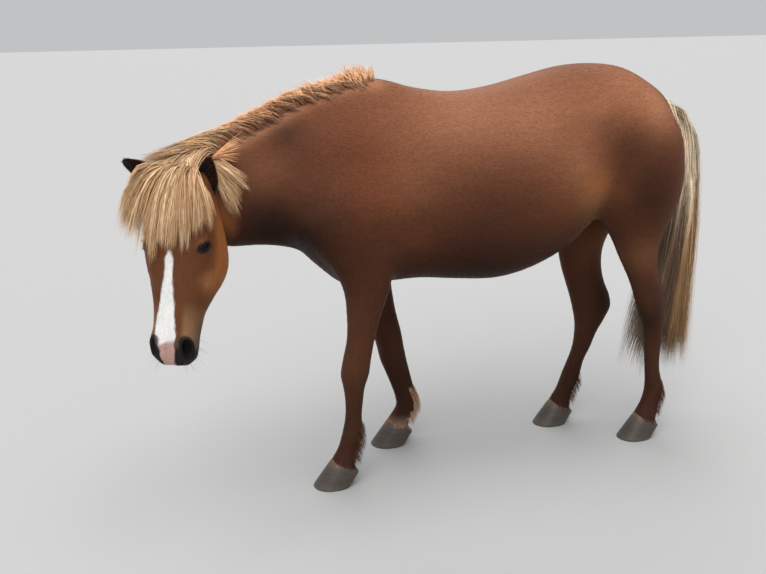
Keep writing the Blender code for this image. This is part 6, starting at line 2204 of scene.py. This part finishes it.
def build_fine_hair(coat, growth, chance, density, long_paint, fur_paint):
    """Hair at the fetlocks and in the ears, and whiskers."""
    def add(name, guides, tones, width, shade, look, wave, slot):
        made = long_hair(name, guides, tones, coat, chance, FINE_STEPS, width, shade, look,
                         wave=wave, free=True)

    guides = fetlock_guides(growth, chance, int(FETLOCK_HAIRS * density))
    far_fore = (guides[:, 0, 1] > 0.05) & (guides[:, 0, 0] < 0)
    tones = np.clip(0.20 + 0.65 * far_fore + chance.uniform(-0.20, 0.20, len(guides)), 0, 1)
    shade = hair_shade(linear(186, 148, 114), linear(104, 66, 46), linear(52, 33, 26))
    add("fetlock_hair", guides, tones, 0.0022, shade, fur_paint, 0.001, "dark_coat")
    guides = ear_fringe(chance, int(EAR_HAIRS * density))
    tones = chance.uniform(0.0, 1.0, len(guides))
    shade = hair_shade(linear(84, 54, 38), linear(42, 27, 21), linear(22, 15, 13))
    add("ear_hair", guides, tones, 0.0011, shade, fur_paint, 0.0006, "coat")
    guides = whisker_guides(coat, chance, WHISKERS)
    shade = hair_shade(MUZZLE_GREY, MUZZLE_GREY, MUZZLE_GREY)
    add("whiskers", guides, np.zeros(len(guides)), 0.0006, shade, long_paint, 0.0, "pale_hair")


def build_horse():
    chance = np.random.default_rng(SEED)
    density = 1.0
    coat, growth = build_skin()
    long_paint = hair_look("long_hair", 0.42, 0.28, 0.10)
    fur_paint = hair_look("short_hair", 0.54, 0.08, 0.0)
    build_hooves_and_ears()
    build_eyes(coat, chance, long_paint)
    build_locks(coat, chance, density, long_paint)
    build_tail(coat, chance, density)
    build_fur(growth, chance, density, fur_paint)
    build_fine_hair(coat, growth, chance, density, long_paint, fur_paint)


def build_room():
    """A pale floor, soft studio light and the photograph's camera."""
    floor = bpy.data.meshes.new("floor")
    far = FLOOR_REACH
    corners = [(-far, -far, 0), (far, -far, 0), (far, far, 0), (-far, far, 0)]
    floor.from_pydata(corners, [], [(0, 1, 2, 3)])
    ground = bpy.data.objects.new("floor", floor)
    bpy.context.scene.collection.objects.link(ground)
    look = Look("floor_paint", 0.9, 0.2)
    look.shader.inputs["Base Color"].default_value = (0.42, 0.42, 0.415, 1.0)
    floor.materials.append(look.material)
    for name, aim, angle, strength in LIGHTS:
        light = bpy.data.lights.new(name, "SUN")
        light.energy = strength
        light.angle = math.radians(angle)
        lamp = bpy.data.objects.new(name, light)
        bpy.context.scene.collection.objects.link(lamp)
        lamp.rotation_euler = Vector(aim).to_track_quat("-Z", "Y").to_euler()
    world = bpy.data.worlds.new("studio")
    bpy.context.scene.world = world
    world.use_nodes = True
    world.node_tree.nodes["Background"].inputs["Color"].default_value = (0.97, 0.98, 1.0, 1.0)
    world.node_tree.nodes["Background"].inputs["Strength"].default_value = 0.55
    bpy.context.scene.view_settings.view_transform = "Standard"

    ahead = Vector((math.sin(CAMERA_HEADING), math.cos(CAMERA_HEADING), 0.0))
    right = Vector((math.cos(CAMERA_HEADING), -math.sin(CAMERA_HEADING), 0.0))
    sky = Vector((0.0, 0.0, 1.0))
    forward = ahead * math.cos(CAMERA_PITCH) - sky * math.sin(CAMERA_PITCH)
    up = sky * math.cos(CAMERA_PITCH) + ahead * math.sin(CAMERA_PITCH)
    right, up = (right * math.cos(CAMERA_ROLL) - up * math.sin(CAMERA_ROLL),
                 up * math.cos(CAMERA_ROLL) + right * math.sin(CAMERA_ROLL))
    turn = Matrix((right, up, -forward)).transposed()
    camera = bpy.data.cameras.new("camera")
    camera.sensor_width = SENSOR_WIDTH
    camera.lens = CAMERA_LENS
    eye = bpy.data.objects.new("camera", camera)
    bpy.context.scene.collection.objects.link(eye)
    eye.matrix_world = Matrix.Translation(Vector(CAMERA_PLACE) - Vector(SHIFT)) @ turn.to_4x4()
    bpy.context.scene.camera = eye


build_horse()
build_room()
